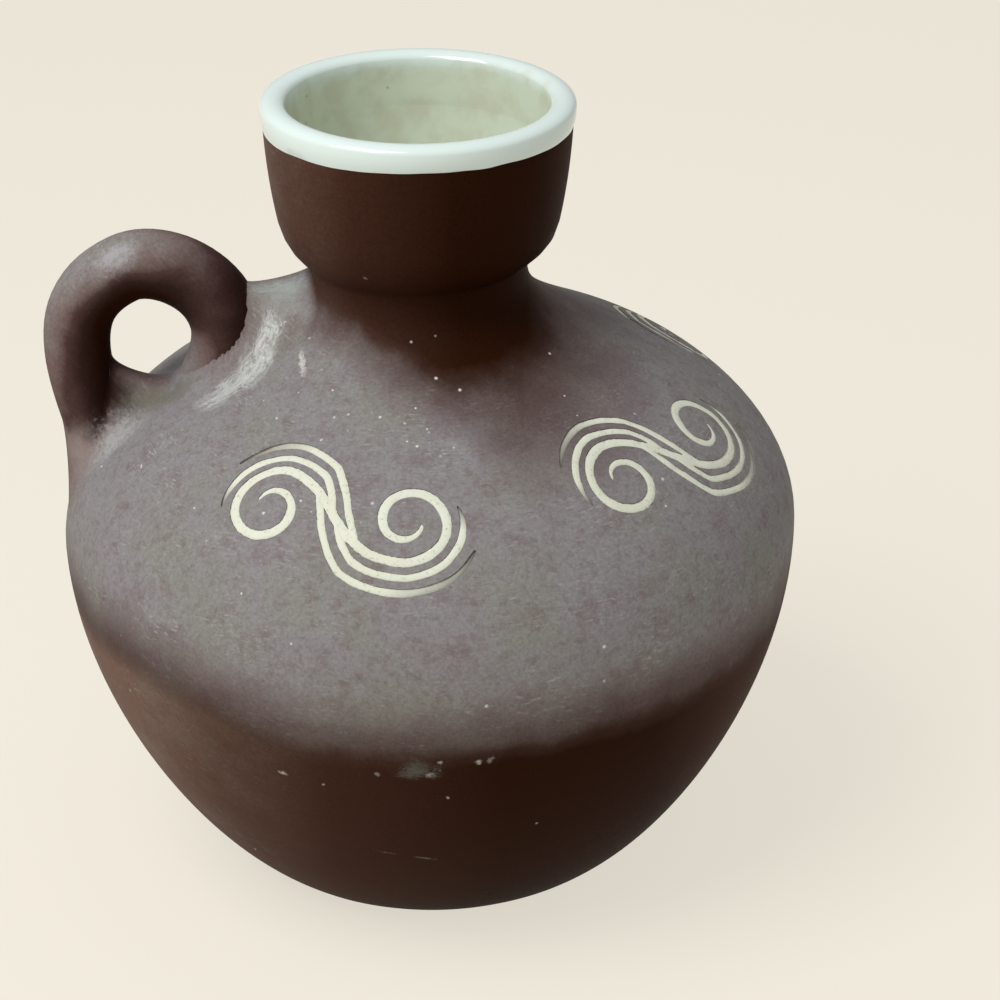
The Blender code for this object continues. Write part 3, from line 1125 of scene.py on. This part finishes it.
def wiped_smears_and_painted_light() -> tuple[Mark, ...]:
    """Slip that wet fingers dragged from the handle's roots, with a painted shadow, a lighter patch and a
    painted sheen.
    """
    pale, cool, olive, dark, lighter = "#CDD0CC", "#A9ABA9", "#6F6D60", "#22120E", "#958783"
    green_film, grey_film, sheen = "#9AA09C", "#9A9C98", "#A8A4A8"
    return (
        # A painted shadow where the ring's hole meets the lower root.
        Mark((-0.0600, -0.0040, 0.1015), (-0.0560, -0.0060, 0.0945), 0.0070, 0.95, dark, 0.5, 0.0010),
        # A lighter patch on the outer side of the lower root.
        Mark((-0.0650, -0.0055, 0.0905), (-0.0660, -0.0065, 0.0830), 0.0062, 0.75, lighter, 0.8),
        Mark((-0.0560, -0.0062, 0.0952), (-0.0430, -0.0061, 0.1032), 0.0058, 0.90, olive, 1.6, 0.0015),
        Mark((-0.0535, -0.0084, 0.0940), (-0.0622, -0.0084, 0.0836), 0.0054, 0.70, cool, 3.0, 0.0015),
        Mark((-0.0272, -0.0045, 0.1118), (-0.0292, -0.0095, 0.1066), 0.0042, 0.85, pale),
        Mark((-0.0290, -0.0090, 0.1070), (-0.0335, -0.0150, 0.1027), 0.0060, 0.74, pale),
        Mark((-0.0330, -0.0148, 0.1030), (-0.0405, -0.0150, 0.0995), 0.0062, 0.62, pale),
        Mark((-0.0310, -0.0020, 0.1145), (-0.0205, -0.0025, 0.1165), 0.0044, 1.00, green_film, 2.0),
        Mark((-0.0285, -0.0040, 0.1108), (-0.0215, -0.0060, 0.1140), 0.0048, 0.65, grey_film, 2.0),
        Mark((-0.0228, -0.0125, 0.1098), (-0.0216, -0.0235, 0.1050), 0.0009, 0.95, CHALK, 3.6, 0.0012),
        # A painted sheen along the top of the ring.
        Mark((-0.0600, -0.0052, 0.1222), (-0.0515, -0.0040, 0.1270), 0.0036, 0.80, sheen, 2.6, 0.0010),
    )


def scuffs() -> tuple[Mark, ...]:
    """Pale flecks, a dull rub and one hair scratch, in two stretches, on the jug's front."""
    rub, hairline = "#727B74", "#8F8478"
    return (
        Mark((-0.0300, -0.0603, 0.0466), (-0.0268, -0.0610, 0.0464), 0.0004, 0.60, CHALK, 1.0, 0.0004),
        Mark((-0.0216, -0.0629, 0.0456), (-0.0209, -0.0632, 0.0449), 0.0003, 0.60, CHALK, 1.0, 0.0004),
        Mark((-0.0119, -0.0664, 0.0496), (-0.0109, -0.0668, 0.0482), 0.0004, 0.35, CHALK, 1.0, 0.0004),
        Mark((-0.0150, -0.0655, 0.0497), (-0.0142, -0.0657, 0.0484), 0.0004, 0.25, CHALK, 1.0, 0.0004),
        Mark((-0.0032, -0.0675, 0.0490), (-0.0010, -0.0676, 0.0487), 0.0006, 0.45, CHALK, 2.0, 0.0006),
        Mark((-0.0006, -0.0682, 0.0521), (0.0003, -0.0682, 0.0514), 0.0004, 0.60, CHALK, 1.0, 0.0004),
        Mark((-0.0003, -0.0680, 0.0502), (-0.0001, -0.0681, 0.0488), 0.0004, 0.40, CHALK, 1.0, 0.0004),
        Mark((0.0006, -0.0660, 0.0431), (0.0010, -0.0657, 0.0428), 0.0004, 0.70, CHALK, 0.8, 0.0004),
        Mark((0.0061, -0.0678, 0.0511), (0.0070, -0.0677, 0.0516), 0.0006, 0.65, CHALK, 1.0, 0.0006),
        Mark((0.0078, -0.0677, 0.0508), (0.0096, -0.0675, 0.0521), 0.0005, 0.30, CHALK, 2.0, 0.0006),
        Mark((-0.0090, -0.0680, 0.0494), (0.0000, -0.0684, 0.0494), 0.0024, 0.42, rub, 3.0),
        Mark((-0.0567, -0.0385, 0.0530), (-0.0566, -0.0381, 0.0516), 0.0004, 0.60, CHALK, 0.8, 0.0004),
        Mark((-0.0146, -0.0577, 0.0283), (-0.0073, -0.0582, 0.0266), 0.0004, 0.40, hairline, 1.4, 0.0003),
        Mark((-0.0073, -0.0582, 0.0266), (-0.0001, -0.0577, 0.0248), 0.0004, 0.55, hairline, 1.4, 0.0003),
        Mark((-0.0099, -0.0227, 0.1260), (-0.0097, -0.0227, 0.1252), 0.0004, 0.40, CHALK, 0.8, 0.0004),
    )


@dataclass(frozen=True)
class Stoneware:
    """Iron-bearing stoneware, rubbed with a pebble when leather-hard and fired bare.

    What that gives the eye: a dense dry skin of dark red-brown, with a painted grey mauve sheen on all
    that faces up, painted shade below the widest line and under the cup, and painted light towards the
    lamp at the left. Level rubbing marks, pores and pale dust break it up.
    """

    name: str = "rubbed iron stoneware with painted grey sheen"
    # Painted light across the wall, left to right: pale towards the lamp at the left, painted shade at the
    # right, and brown again as a painted sheen on the right edge.
    painted_lit_left: str = "#745A50"
    warm: str = "#584036"
    brown: str = "#3E261C"
    dark: str = "#2A1306"
    shaded: str = "#2A1206"
    # Grades of the painted grey sheen on what faces up, from its thin edge to full.
    umber: str = "#47352F"
    mauve: str = "#615352"
    grey_mauve: str = "#776E6E"
    sheen_grey: str = "#898586"
    green_grey: str = "#848479"
    worn: str = "#6F5D5C"
    pale: str = "#B4B2B3"
    dust: str = "#DAD9D5"
    gloss: float = 0.025
    marks: tuple[Mark, ...] = ()

    def painted_sheen_share(self, tree: Tree, place: Source) -> Source:
        """How much painted grey sheen lies on the thrown wall: full on the shoulder, none on the cup and
        foot.

        It thins out below the widest line into painted shade, higher up on the handle's side, and stops
        round the neck at an edge that sinks lowest at the front right: the cup's painted shadow.

        Args:
            tree: the material's tree.
            place: Object coordinates.

        Returns:
            A share from 0 to 1.
        """
        at = add_node(tree, "SeparateXYZ", links={0: place})
        clouds = {"Scale": per_mm(11), "Detail": 5.0, "Roughness": 0.6}
        cloud = add_node(tree, "TexNoise", clouds, {"Vector": place})
        uneven = add_node(tree, "Math", {"operation": "MULTIPLY_ADD", 1: 0.0060, 2: -0.0030}, {0: cloud})
        height = add_node(tree, "Math", {"operation": "ADD"}, {0: at.outputs["Z"], 1: uneven})
        # Below the widest line the painted sheen gives way to painted shade, higher up on the handle's
        # side.
        handle_side = {"interpolation_type": "SMOOTHSTEP", "From Min": -0.020, "From Max": -0.052}
        shift = add_node(tree, "MapRange", handle_side | {"To Max": 0.006}, {"Value": at.outputs["X"]})
        fallen = add_node(tree, "Math", {"operation": "SUBTRACT"}, {0: height, 1: shift})
        above_foot = add_node(tree, "MapRange", {"From Min": 0.0500, "From Max": 0.0668}, {"Value": fallen})
        # Round the neck, the cup's painted shadow: its edge sinks lowest at the front right.
        flat = add_node(tree, "VectorMath", {"operation": "MULTIPLY", 1: LEVEL}, {0: place})
        heading = add_node(tree, "VectorMath", {"operation": "NORMALIZE"}, {0: flat})
        front_right = {"operation": "DOT_PRODUCT", 1: (0.407, -0.913, 0.0)}
        toward_cup_shadow = add_node(tree, "VectorMath", front_right, {0: heading}).outputs["Value"]
        sinking = {"operation": "MULTIPLY_ADD", 1: -0.017, 2: 0.1262}
        rising = add_node(tree, "Math", sinking, {0: toward_cup_shadow})
        edge = add_node(tree, "Math", {"operation": "MINIMUM", 1: 0.1175}, {0: rising})
        below = add_node(tree, "Math", {"operation": "SUBTRACT"}, {0: edge, 1: height})
        softer_right = {"From Min": 0.004, "From Max": 0.017, "To Min": 0.0095, "To Max": 0.0175}
        depth = add_node(tree, "MapRange", softer_right, {"Value": at.outputs["X"]})
        out_of_cup_shadow = add_node(tree, "MapRange", links={"Value": below, "From Max": depth})
        return add_node(tree, "Math", {"operation": "MULTIPLY"}, {0: above_foot, 1: out_of_cup_shadow})

    def tone(self, tree: Tree, place: Source, facing: Source) -> Source:
        """The clay's colour: bare brown with painted light, paler towards the lamp at the left, under the
        painted sheen.

        Args:
            tree: the material's tree.
            place: Object coordinates.
            facing: the surface's direction; not used here.

        Returns:
            A colour.
        """
        at = add_node(tree, "SeparateXYZ", links={0: place})
        # On the cup the painted light is stretched further: paler on its left, darker on its right.
        up_neck = {"From Min": 0.104, "From Max": 0.116, "To Min": 1.0, "To Max": 1.7}
        spread = add_node(tree, "MapRange", up_neck, {"Value": at.outputs["Z"]})
        aside = add_node(tree, "Math", {"operation": "MULTIPLY"}, {0: at.outputs["X"], 1: spread})
        across = add_node(tree, "MapRange", {"From Min": -0.056, "From Max": 0.056}, {"Value": aside})
        painted_light_across = (
            (0.0, self.painted_lit_left),
            (0.13, self.warm),
            (0.32, self.brown),
            (0.60, self.dark),
            (0.85, self.shaded),
            (1.0, self.brown),
        )
        bare = graded(tree, across, painted_light_across)
        share = self.painted_sheen_share(tree, place)
        # The painted grey sheen, from its thin edge to full on the shoulder.
        sheen_grades = ((0.15, self.umber), (0.50, self.mauve), (0.75, self.grey_mauve), (1.0, self.sheen_grey))
        sheened = graded(tree, share, sheen_grades)
        thin = add_node(tree, "MapRange", {"From Max": 0.34}, {"Value": share})
        return laid_over(tree, bare, sheened, thin)

    def patch(
        self, tree: Tree, place: Source, size: float, low: float, high: float, most: float
    ) -> Source:
        """Soft patches, where a noise lies between two levels.

        Args:
            tree: the material's tree.
            place: Object coordinates.
            size: about how wide a patch is, in millimetres.
            low: the noise at which a patch begins.
            high: the noise at which it is full.
            most: the share that a full patch has.

        Returns:
            A share.
        """
        clouds = {"Scale": per_mm(size), "Detail": 4.0, "Roughness": 0.62}
        cloud = add_node(tree, "TexNoise", clouds, {"Vector": place})
        levels = {"From Min": low, "From Max": high, "To Max": most}
        return add_node(tree, "MapRange", levels, {"Value": cloud})

    def drawn_round(self, tree: Tree, place: Source, length: float, width: float) -> Source:
        """Coordinates in which round features come out drawn along the turning of the jug.

        Args:
            tree: the material's tree.
            place: Object coordinates.
            length: millimetres along the turning.
            width: millimetres up the wall, both on the belly and on the sloping shoulder.

        Returns:
            A vector for a noise of scale one.
        """
        height = add_node(tree, "SeparateXYZ", links={0: place}).outputs["Z"]
        flat = add_node(tree, "VectorMath", {"operation": "MULTIPLY", 1: LEVEL}, {0: place})
        radius = add_node(tree, "VectorMath", {"operation": "LENGTH"}, {0: flat}).outputs["Value"]
        climb = add_node(tree, "Math", {"operation": "SUBTRACT"}, {0: height, 1: radius})
        scaled = add_node(tree, "Math", {"operation": "MULTIPLY", 1: 0.75 * per_mm(width)}, {0: climb})
        round_it = add_node(tree, "VectorMath", {"operation": "SCALE", "Scale": per_mm(length)}, {0: flat})
        upright = add_node(tree, "CombineXYZ", links={"Z": scaled})
        return add_node(tree, "VectorMath", {"operation": "ADD"}, {0: round_it, 1: upright})

    def dashes(self, tree: Tree, place: Source) -> Source:
        """Short pale strokes of the rubbing pebble, about 2 mm by 0.4 mm, in loose clusters.

        Args:
            tree: the material's tree.
            place: Object coordinates.

        Returns:
            A share.
        """
        drawn = self.drawn_round(tree, place, length=1.9, width=0.42)
        lighter = {"Scale": 1.0, "Detail": 2.5, "Roughness": 0.6}
        rubbing = add_node(tree, "TexNoise", lighter, {"Vector": drawn})
        strokes = add_node(tree, "MapRange", {"From Min": 0.55, "From Max": 0.74}, {"Value": rubbing})
        clusters = self.patch(tree, place, size=9, low=0.42, high=0.66, most=0.62)
        return add_node(tree, "Math", {"operation": "MULTIPLY"}, {0: strokes, 1: clusters})

    def specks(self, tree: Tree, place: Source) -> Source:
        """White dust caught in pores of 0.2 to 0.5 mm, thickest on the shoulder left of the front.

        Args:
            tree: the material's tree.
            place: Object coordinates.

        Returns:
            A share.
        """
        frayed = add_node(tree, "TexNoise", {"Scale": per_mm(0.7), "Detail": 2.0}, {"Vector": place})
        shaken = {"operation": "MULTIPLY_ADD", 1: (0.00022,) * 3}
        stray = add_node(tree, "VectorMath", shaken, {0: frayed.outputs["Color"], 2: place})
        cells = add_node(tree, "TexVoronoi", {"Scale": per_mm(2.1), "Randomness": 1.0}, {"Vector": stray})
        chance = add_node(tree, "SeparateColor", links={0: cells.outputs["Color"]})
        pore = {"operation": "MULTIPLY_ADD", 1: 0.13, 2: 0.09}
        size = add_node(tree, "Math", pore, {0: chance.outputs[1]})
        near = add_node(tree, "MapRange", {"From Max": 0.05}, {"Value": cells, "From Min": size})
        left_of_front = {"Location": (-0.014, -0.036, 0.100), "Scale": (0.034, 0.030, 0.030)}
        where = add_node(tree, "Mapping", {"vector_type": "TEXTURE"} | left_of_front, {"Vector": place})
        thick = add_node(tree, "TexGradient", {"gradient_type": "SPHERICAL"}, {"Vector": where})
        height = add_node(tree, "SeparateXYZ", links={0: place}).outputs["Z"]
        on_shoulder = {"From Min": 0.055, "From Max": 0.080, "To Min": 0.004, "To Max": 0.05}
        upper = add_node(tree, "MapRange", on_shoulder, {"Value": height})
        off_cup = add_node(tree, "MapRange", {"From Min": 0.116, "From Max": 0.110}, {"Value": height})
        crowded = {"operation": "MULTIPLY_ADD", 1: 0.55}
        odds = add_node(tree, "Math", crowded, {0: thick.outputs["Fac"], 2: upper})
        drawn = add_node(tree, "Math", {"operation": "LESS_THAN"}, {0: chance, 1: odds})
        kept = add_node(tree, "Math", {"operation": "MULTIPLY"}, {0: near, 1: drawn})
        return add_node(tree, "Math", {"operation": "MULTIPLY"}, {0: kept, 1: off_cup})

    def skin(self, tree: Tree, place: Source, tone: Source, grain: Source) -> Source:
        """The clay's colour with its mottle, rubbing strokes, wiped slip and dust, and the painted shadow
        and sheen among its marks.

        Args:
            tree: the material's tree.
            place: Object coordinates.
            tone: the clay's own colour.
            grain: fine noise of the sand in the clay.

        Returns:
            A colour.
        """
        # Mottle and rubbing strokes show only where the tone is bright, mostly under the painted sheen.
        bright = add_node(tree, "RGBToBW", links={0: tone})
        dry = add_node(tree, "MapRange", {"From Min": 0.03, "From Max": 0.2}, {"Value": bright})
        layers = (
            (self.patch(tree, place, size=17, low=0.45, high=0.62, most=0.50), self.green_grey),
            (self.patch(tree, place, size=4.5, low=0.50, high=0.68, most=0.42), self.worn),
            (self.patch(tree, place, size=1.6, low=0.50, high=0.66, most=0.36), self.worn),
            (self.dashes(tree, place), self.pale),
        )
        colour = tone
        for layer, over in layers:
            share = add_node(tree, "Math", {"operation": "MULTIPLY"}, {0: layer, 1: dry})
            colour = laid_over(tree, colour, over, share)
        sandy = {"From Min": 0.3, "From Max": 0.7, "To Min": 0.82, "To Max": 1.18}
        shade = add_node(tree, "MapRange", sandy, {"Value": grain})
        colour = add_node(tree, "VectorMath", {"operation": "SCALE"}, {0: colour, "Scale": shade})
        wavy = add_node(tree, "TexNoise", {"Scale": per_mm(5), "Detail": 3.0}, {"Vector": place})
        frayed = add_node(tree, "TexNoise", {"Scale": per_mm(1), "Detail": 2.0}, {"Vector": place})
        for mark in self.marks:
            bend = wavy if mark.stray > WIDE_STRAY else frayed
            share = mark.share(tree, place, bend.outputs["Color"], grain)
            colour = laid_over(tree, colour, mark.colour, share)
        return laid_over(tree, colour, self.dust, self.specks(tree, place))

    def material(self) -> bpy.types.Material:
        """The finished clay."""
        clay, tree, shader = new_material(self.name)
        coords = add_node(tree, "TexCoord")
        place = coords.outputs["Object"]
        sand = {"Scale": per_mm(0.6), "Detail": 4.0, "Roughness": 0.7}
        grain = add_node(tree, "TexNoise", sand, {"Vector": place})
        tone = self.tone(tree, place, coords.outputs["Normal"])
        colour = self.skin(tree, place, tone, grain)
        drawn = self.drawn_round(tree, place, length=30, width=1.1)
        ribs = add_node(tree, "TexNoise", {"Scale": 1.0, "Detail": 2.0}, {"Vector": drawn})
        relief = add_node(tree, "Math", {"operation": "MULTIPLY_ADD", 1: 2.0}, {0: ribs, 2: grain})
        bump = add_node(tree, "Bump", {"Strength": 0.25, "Distance": 0.00012}, {"Height": relief})
        dull = {"From Min": 0.3, "From Max": 0.7, "To Min": 0.50, "To Max": 0.66}
        rough = add_node(tree, "MapRange", dull, {"Value": grain})
        fed = {"Base Color": colour, "Normal": bump, "Roughness": rough}
        set_node(tree, shader, {"Specular IOR Level": self.gloss}, fed)
        return clay


@dataclass(frozen=True)
class HandleClay(Stoneware):
    """The same stoneware on the handle: painted sheen where it faces the lamp, painted shade near black
    inside.
    """

    name: str = "rubbed iron stoneware of the handle"
    # Painted light and shade: grey sheen on what faces lit_side, through the flank and upper grades, down
    # to near-black shade on what faces away.
    lit_side: tuple[float, float, float] = (-0.55, -0.25, 0.80)
    in_shadow: str = "#33211D"
    half_shadow: str = "#4B3633"
    flank: str = "#6E5A58"
    upper: str = "#7E7270"

    def tone(self, tree: Tree, place: Source, facing: Source) -> Source:
        """The handle's colour as painted light and shade, by the way it faces the lamp.

        Args:
            tree: the material's tree.
            place: Object coordinates.
            facing: the surface's direction.

        Returns:
            A colour.
        """
        toward_lamp = {"operation": "DOT_PRODUCT", 1: self.lit_side}
        towards = add_node(tree, "VectorMath", toward_lamp, {0: facing}).outputs["Value"]
        cloud = add_node(tree, "TexNoise", {"Scale": per_mm(7), "Detail": 4.0}, {"Vector": place})
        uneven = add_node(tree, "Math", {"operation": "MULTIPLY_ADD", 1: 0.3, 2: 0.02}, {0: cloud})
        share = add_node(tree, "Math", {"operation": "MULTIPLY_ADD", 1: 0.80}, {0: towards, 2: uneven})
        lit_and_shaded_coil = (
            (0.0, self.shaded),
            (0.27, self.in_shadow),
            (0.48, self.half_shadow),
            (0.62, self.flank),
            (0.80, self.upper),
            (1.0, self.sheen_grey),
        )
        return graded(tree, share, lit_and_shaded_coil)


@dataclass(frozen=True)
class LutingClay(Stoneware):
    """Thick slip of the same clay, wiped round the handle's roots: it takes on what it joins."""

    name: str = "stoneware slip wiped round a root"

    def tone(self, tree: Tree, place: Source, facing: Source) -> Source:
        """The wall's colour, painted sheen and shade included, at the fillet's foot, passing to the
        handle's at its top.

        Args:
            tree: the material's tree.
            place: Object coordinates.
            facing: the surface's direction.

        Returns:
            A colour.
        """
        wall = super().tone(tree, place, facing)
        handle = HandleClay().tone(tree, place, facing)
        climb = add_node(tree, "Attribute", {"attribute_name": "climb"}).outputs["Fac"]
        # Most of the fillet takes the handle's painted light and shade, which darkens it on the side away
        # from the lamp.
        near_foot = {"interpolation_type": "SMOOTHSTEP", "From Min": 0.02, "From Max": 0.22}
        spread = add_node(tree, "MapRange", near_foot, {"Value": climb})
        return laid_over(tree, wall, handle, spread)


@dataclass(frozen=True)
class Glaze:
    """The jug's glaze: opaque white where it lies thick over the lip, cream celadon inside.

    What that gives the eye: a wet, even gloss over a milky colour that pools and thins in clouds,
    with a few specks of iron from the clay.
    """

    name: str = "glaze"
    white: str = "#DDEBE6"
    celadon: str = "#D2DBC7"
    thin: str = "#CACFB8"
    iron: str = "#57492F"
    rough: float = 0.10
    ior: float = 1.5
    mottle: float = 5.0

    def inside_share(self, tree: Tree, place: Source, cloud: Source) -> Source:
        """Where the white has passed to celadon: inside the lip and below its crown.

        Args:
            tree: the material's tree.
            place: Object coordinates.
            cloud: soft noise of the pooling.

        Returns:
            A share from 0 to 1.
        """
        height = add_node(tree, "SeparateXYZ", links={0: place}).outputs["Z"]
        flat = add_node(tree, "VectorMath", {"operation": "MULTIPLY", 1: LEVEL}, {0: place})
        cup_centre = {"operation": "SUBTRACT", 1: (0.0010, 0.0, 0.0)}
        centred = add_node(tree, "VectorMath", cup_centre, {0: flat})
        radius = add_node(tree, "VectorMath", {"operation": "LENGTH"}, {0: centred}).outputs["Value"]
        past_crown = {"interpolation_type": "SMOOTHSTEP", "From Min": 0.0262, "From Max": 0.0249}
        inwards = add_node(tree, "MapRange", past_crown, {"Value": radius})
        stray = add_node(tree, "Math", {"operation": "MULTIPLY_ADD", 1: 0.004}, {0: cloud, 2: height})
        down_lip = {"interpolation_type": "SMOOTHSTEP", "From Min": 0.1535, "From Max": 0.1495}
        downwards = add_node(tree, "MapRange", down_lip, {"Value": stray})
        return add_node(tree, "Math", {"operation": "MULTIPLY"}, {0: inwards, 1: downwards})

    def colour(self, tree: Tree, place: Source, cloud: Source) -> Source:
        """The glaze's colour anywhere on the mouth, so that bead and lining run into each other.

        Args:
            tree: the material's tree.
            place: Object coordinates.
            cloud: soft noise of the pooling.

        Returns:
            A colour.
        """
        pooling = {"interpolation_type": "SMOOTHSTEP", "From Min": 0.34, "From Max": 0.62}
        pooled = add_node(tree, "MapRange", pooling, {"Value": cloud})
        green = laid_over(tree, self.thin, self.celadon, pooled)
        whole = laid_over(tree, self.white, green, self.inside_share(tree, place, cloud))
        cells = add_node(tree, "TexVoronoi", {"Scale": per_mm(5.0)}, {"Vector": place})
        chance = add_node(tree, "SeparateColor", links={0: cells.outputs["Color"]})
        few = {"From Max": 0.30, "To Min": 0.10, "To Max": 0.0001}
        size = add_node(tree, "MapRange", few, {"Value": chance})
        spot = {"From Max": 0.0, "To Max": 0.8}
        speck = add_node(tree, "MapRange", spot, {"Value": cells, "From Min": size})
        return laid_over(tree, whole, self.iron, speck)

    def material(self) -> bpy.types.Material:
        """The finished glaze."""
        glaze, tree, shader = new_material(self.name)
        place = add_node(tree, "TexCoord").outputs["Object"]
        clouds = {"Scale": per_mm(self.mottle), "Detail": 4.0, "Roughness": 0.55}
        cloud = add_node(tree, "TexNoise", clouds, {"Vector": place})
        relief = add_node(tree, "Bump", {"Strength": 0.08, "Distance": 0.0003}, {"Height": cloud})
        fed = {"Base Color": self.colour(tree, place, cloud), "Normal": relief}
        set_node(tree, shader, {"Roughness": self.rough, "IOR": self.ior}, fed)
        return glaze


@dataclass(frozen=True)
class TinGlaze(Glaze):
    """White tin glaze, dipped thick over the lip: heavier gloss than the lining."""

    name: str = "white tin glaze over the lip"
    rough: float = 0.04
    ior: float = 1.6


@dataclass(frozen=True)
class CeladonLining(Glaze):
    """Celadon poured thin round the inside: a softer gloss, worn by use."""

    name: str = "cream celadon lining glaze"
    rough: float = 0.15


@dataclass(frozen=True)
class InlaidSlip:
    """Porcelain slip pressed into the cuts and scraped back: matte, chalky, a little dirty."""

    name: str = "cream inlaid porcelain slip"
    cream: str = "#E0E6D6"
    yellow: str = "#DAD9C4"
    dirt: str = "#8F877A"
    film: str = "#77706A"
    rough: float = 0.72
    gloss: float = 0.3

    def material(self) -> bpy.types.Material:
        """The finished slip."""
        slip, tree, shader = new_material(self.name)
        place = add_node(tree, "TexCoord").outputs["Object"]
        cloud = add_node(tree, "TexNoise", {"Scale": per_mm(7), "Detail": 2.0}, {"Vector": place})
        colour = laid_over(tree, self.cream, self.yellow, cloud)
        chalky = {"Scale": per_mm(0.7), "Detail": 4.0, "Roughness": 0.7}
        chalk = add_node(tree, "TexNoise", chalky, {"Vector": place})
        in_pits = {"From Min": 0.57, "From Max": 0.72, "To Max": 0.7}
        dirty = add_node(tree, "MapRange", in_pits, {"Value": chalk})
        soiled = laid_over(tree, colour, self.dirt, dirty)
        sunk = add_node(tree, "Attribute", {"attribute_name": "starved"}).outputs["Fac"]
        filmed = laid_over(tree, soiled, self.film, sunk)
        relief = add_node(tree, "Bump", {"Strength": 0.5, "Distance": 0.0001}, {"Height": chalk})
        fed = {"Base Color": filmed, "Normal": relief}
        set_node(tree, shader, {"Roughness": self.rough, "Specular IOR Level": self.gloss}, fed)
        return slip


@dataclass
class Studio:
    """The pale table, the soft lights and the camera at the photograph's angle."""

    table_colour: str = "#F4EEE0"
    table_width: float = 6.0
    plain_share: float = 0.75
    sky: float = 0.42
    key_power: float = 5.6
    key_size: float = 0.50
    key_place: tuple[float, float, float] = (-0.36, -0.30, 0.80)
    key_aim: tuple[float, float, float] = (0.0, 0.0, 0.07)
    camera_height: float = 0.34077
    camera_distance: float = 0.55
    yaw: float = 1.407
    pitch: float = 26.284
    tilt: float = -1.874
    lens: float = 114.47

    def build_table(self) -> None:
        """A wide pale table that keeps the jug's shadow, and is partly plain where it is seen directly."""
        deselect()
        bpy.ops.mesh.primitive_plane_add(size=self.table_width)
        table = bpy.context.object
        table.name = "studio_table"
        finish = bpy.data.materials.new("pale seamless paper")
        finish.use_nodes = True
        tree = finish.node_tree
        tree.nodes.clear()
        paper = add_node(tree, "BsdfDiffuse", {"Color": linear(self.table_colour)})
        glow = add_node(tree, "Emission", {"Color": linear(self.table_colour)})
        path = add_node(tree, "LightPath")
        rays = {0: path.outputs["Is Camera Ray"], 1: path.outputs["Is Glossy Ray"]}
        seen = add_node(tree, "Math", {"operation": "MAXIMUM"}, rays)
        part = add_node(tree, "Math", {"operation": "MULTIPLY", 1: self.plain_share}, {0: seen})
        mixed = add_node(tree, "MixShader", links={0: part, 1: paper, 2: glow})
        add_node(tree, "OutputMaterial", links={"Surface": mixed})
        table.data.materials.append(finish)

    def build_lights(self) -> None:
        """A soft lamp overhead and an even sky."""
        world = bpy.data.worlds.new("studio sky")
        bpy.context.scene.world = world
        world.use_nodes = True
        tree = world.node_tree
        tree.nodes.clear()
        even = add_node(tree, "Background", {"Color": (1, 1, 1, 1), "Strength": self.sky})
        plain = add_node(tree, "Background", {"Color": linear(self.table_colour)})
        seen = add_node(tree, "LightPath").outputs["Is Camera Ray"]
        mixed = add_node(tree, "MixShader", links={0: seen, 1: even, 2: plain})
        add_node(tree, "OutputWorld", links={"Surface": mixed})
        aim = Vector(self.key_aim) - Vector(self.key_place)
        bpy.ops.object.light_add(
            type="AREA", location=self.key_place, rotation=aim.to_track_quat("-Z", "Y").to_euler()
        )
        lamp = bpy.context.object
        lamp.name = "overhead softbox"
        lamp.data.energy = self.key_power
        lamp.data.shape = "SQUARE"
        lamp.data.size = self.key_size

    def build_camera(self) -> None:
        """The camera at the photograph's place."""
        heading = Matrix.Rotation(-math.radians(self.yaw), 3, "Z")
        down = Matrix.Rotation(math.radians(90 - self.pitch), 3, "X")
        tilt = Matrix.Rotation(math.radians(self.tilt), 3, "Z")
        bpy.ops.object.camera_add(
            location=(0.0, -self.camera_distance, self.camera_height),
            rotation=(heading @ down @ tilt).to_euler(),
        )
        camera = bpy.context.object
        camera.name = "studio camera"
        camera.data.lens = self.lens
        camera.data.sensor_width = 36.0
        camera.data.clip_start = 0.01
        bpy.context.scene.camera = camera

    def build(self) -> None:
        """Sets the whole studio."""
        self.build_camera()
        self.build_table()
        self.build_lights()
        bpy.context.scene.view_settings.view_transform = "Standard"


def main() -> None:
    """Builds the jug's pieces in order and sets the studio."""
    logging.basicConfig(level=logging.INFO, format="%(name)s: %(message)s")
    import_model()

    outline = JugOutline()
    azimuths = {"back_right": 36.0, "back_left": 108.0, "front_left": -108.0, "front_right": -36.0}
    work = ShoulderWork(outline, ScrollDrawing())
    smears_and_painted_light = wiped_smears_and_painted_light()
    clay = Stoneware(marks=smears_and_painted_light + scuffs()).material()
    handle_clay = HandleClay(marks=smears_and_painted_light).material()
    wiped = LutingClay(marks=smears_and_painted_light).material()
    inlay = InlaidSlip().material()

    body = ThrownBody(outline, work, azimuths).build()
    dress(body, clay, ("belly_bowl", "shoulder_dome", "neck_collar", "mouth_cup"))
    handle = RingHandle(outline)
    dress(handle.build(), handle_clay, ("ring_handle",))
    upper = RootLuting(
        handle,
        Root.UPPER,
        hole=Reach(0.0035, 0.0035, 0.70),
        flank=Reach(0.0050, 0.0070, 0.60),
        far=Reach(0.0120, 0.0165, 0.15),
        bite=0.0004,
    )
    dress(upper.build(body), wiped, ("upper_root_slip",))
    lower = RootLuting(
        handle,
        Root.LOWER,
        hole=Reach(0.0125, 0.0124, 0.22),
        flank=Reach(0.0045, 0.0055, 0.70),
        far=Reach(0.0125, 0.0115, 0.35),
    )
    dress(lower.build(body), wiped, ("lower_root_slip",))
    dress(LipBead(outline).build(), TinGlaze().material(), ("rim_glaze",))
    dress(Lining(outline).build(), CeladonLining().material(), ("liner_glaze",))
    for place, azimuth in azimuths.items():
        slip = ScrollSlip(work, place, azimuth).build()
        dress(slip, inlay, (f"scroll_inlay_{place}",))

    Studio().build()


if __name__ == "__main__":
    main()
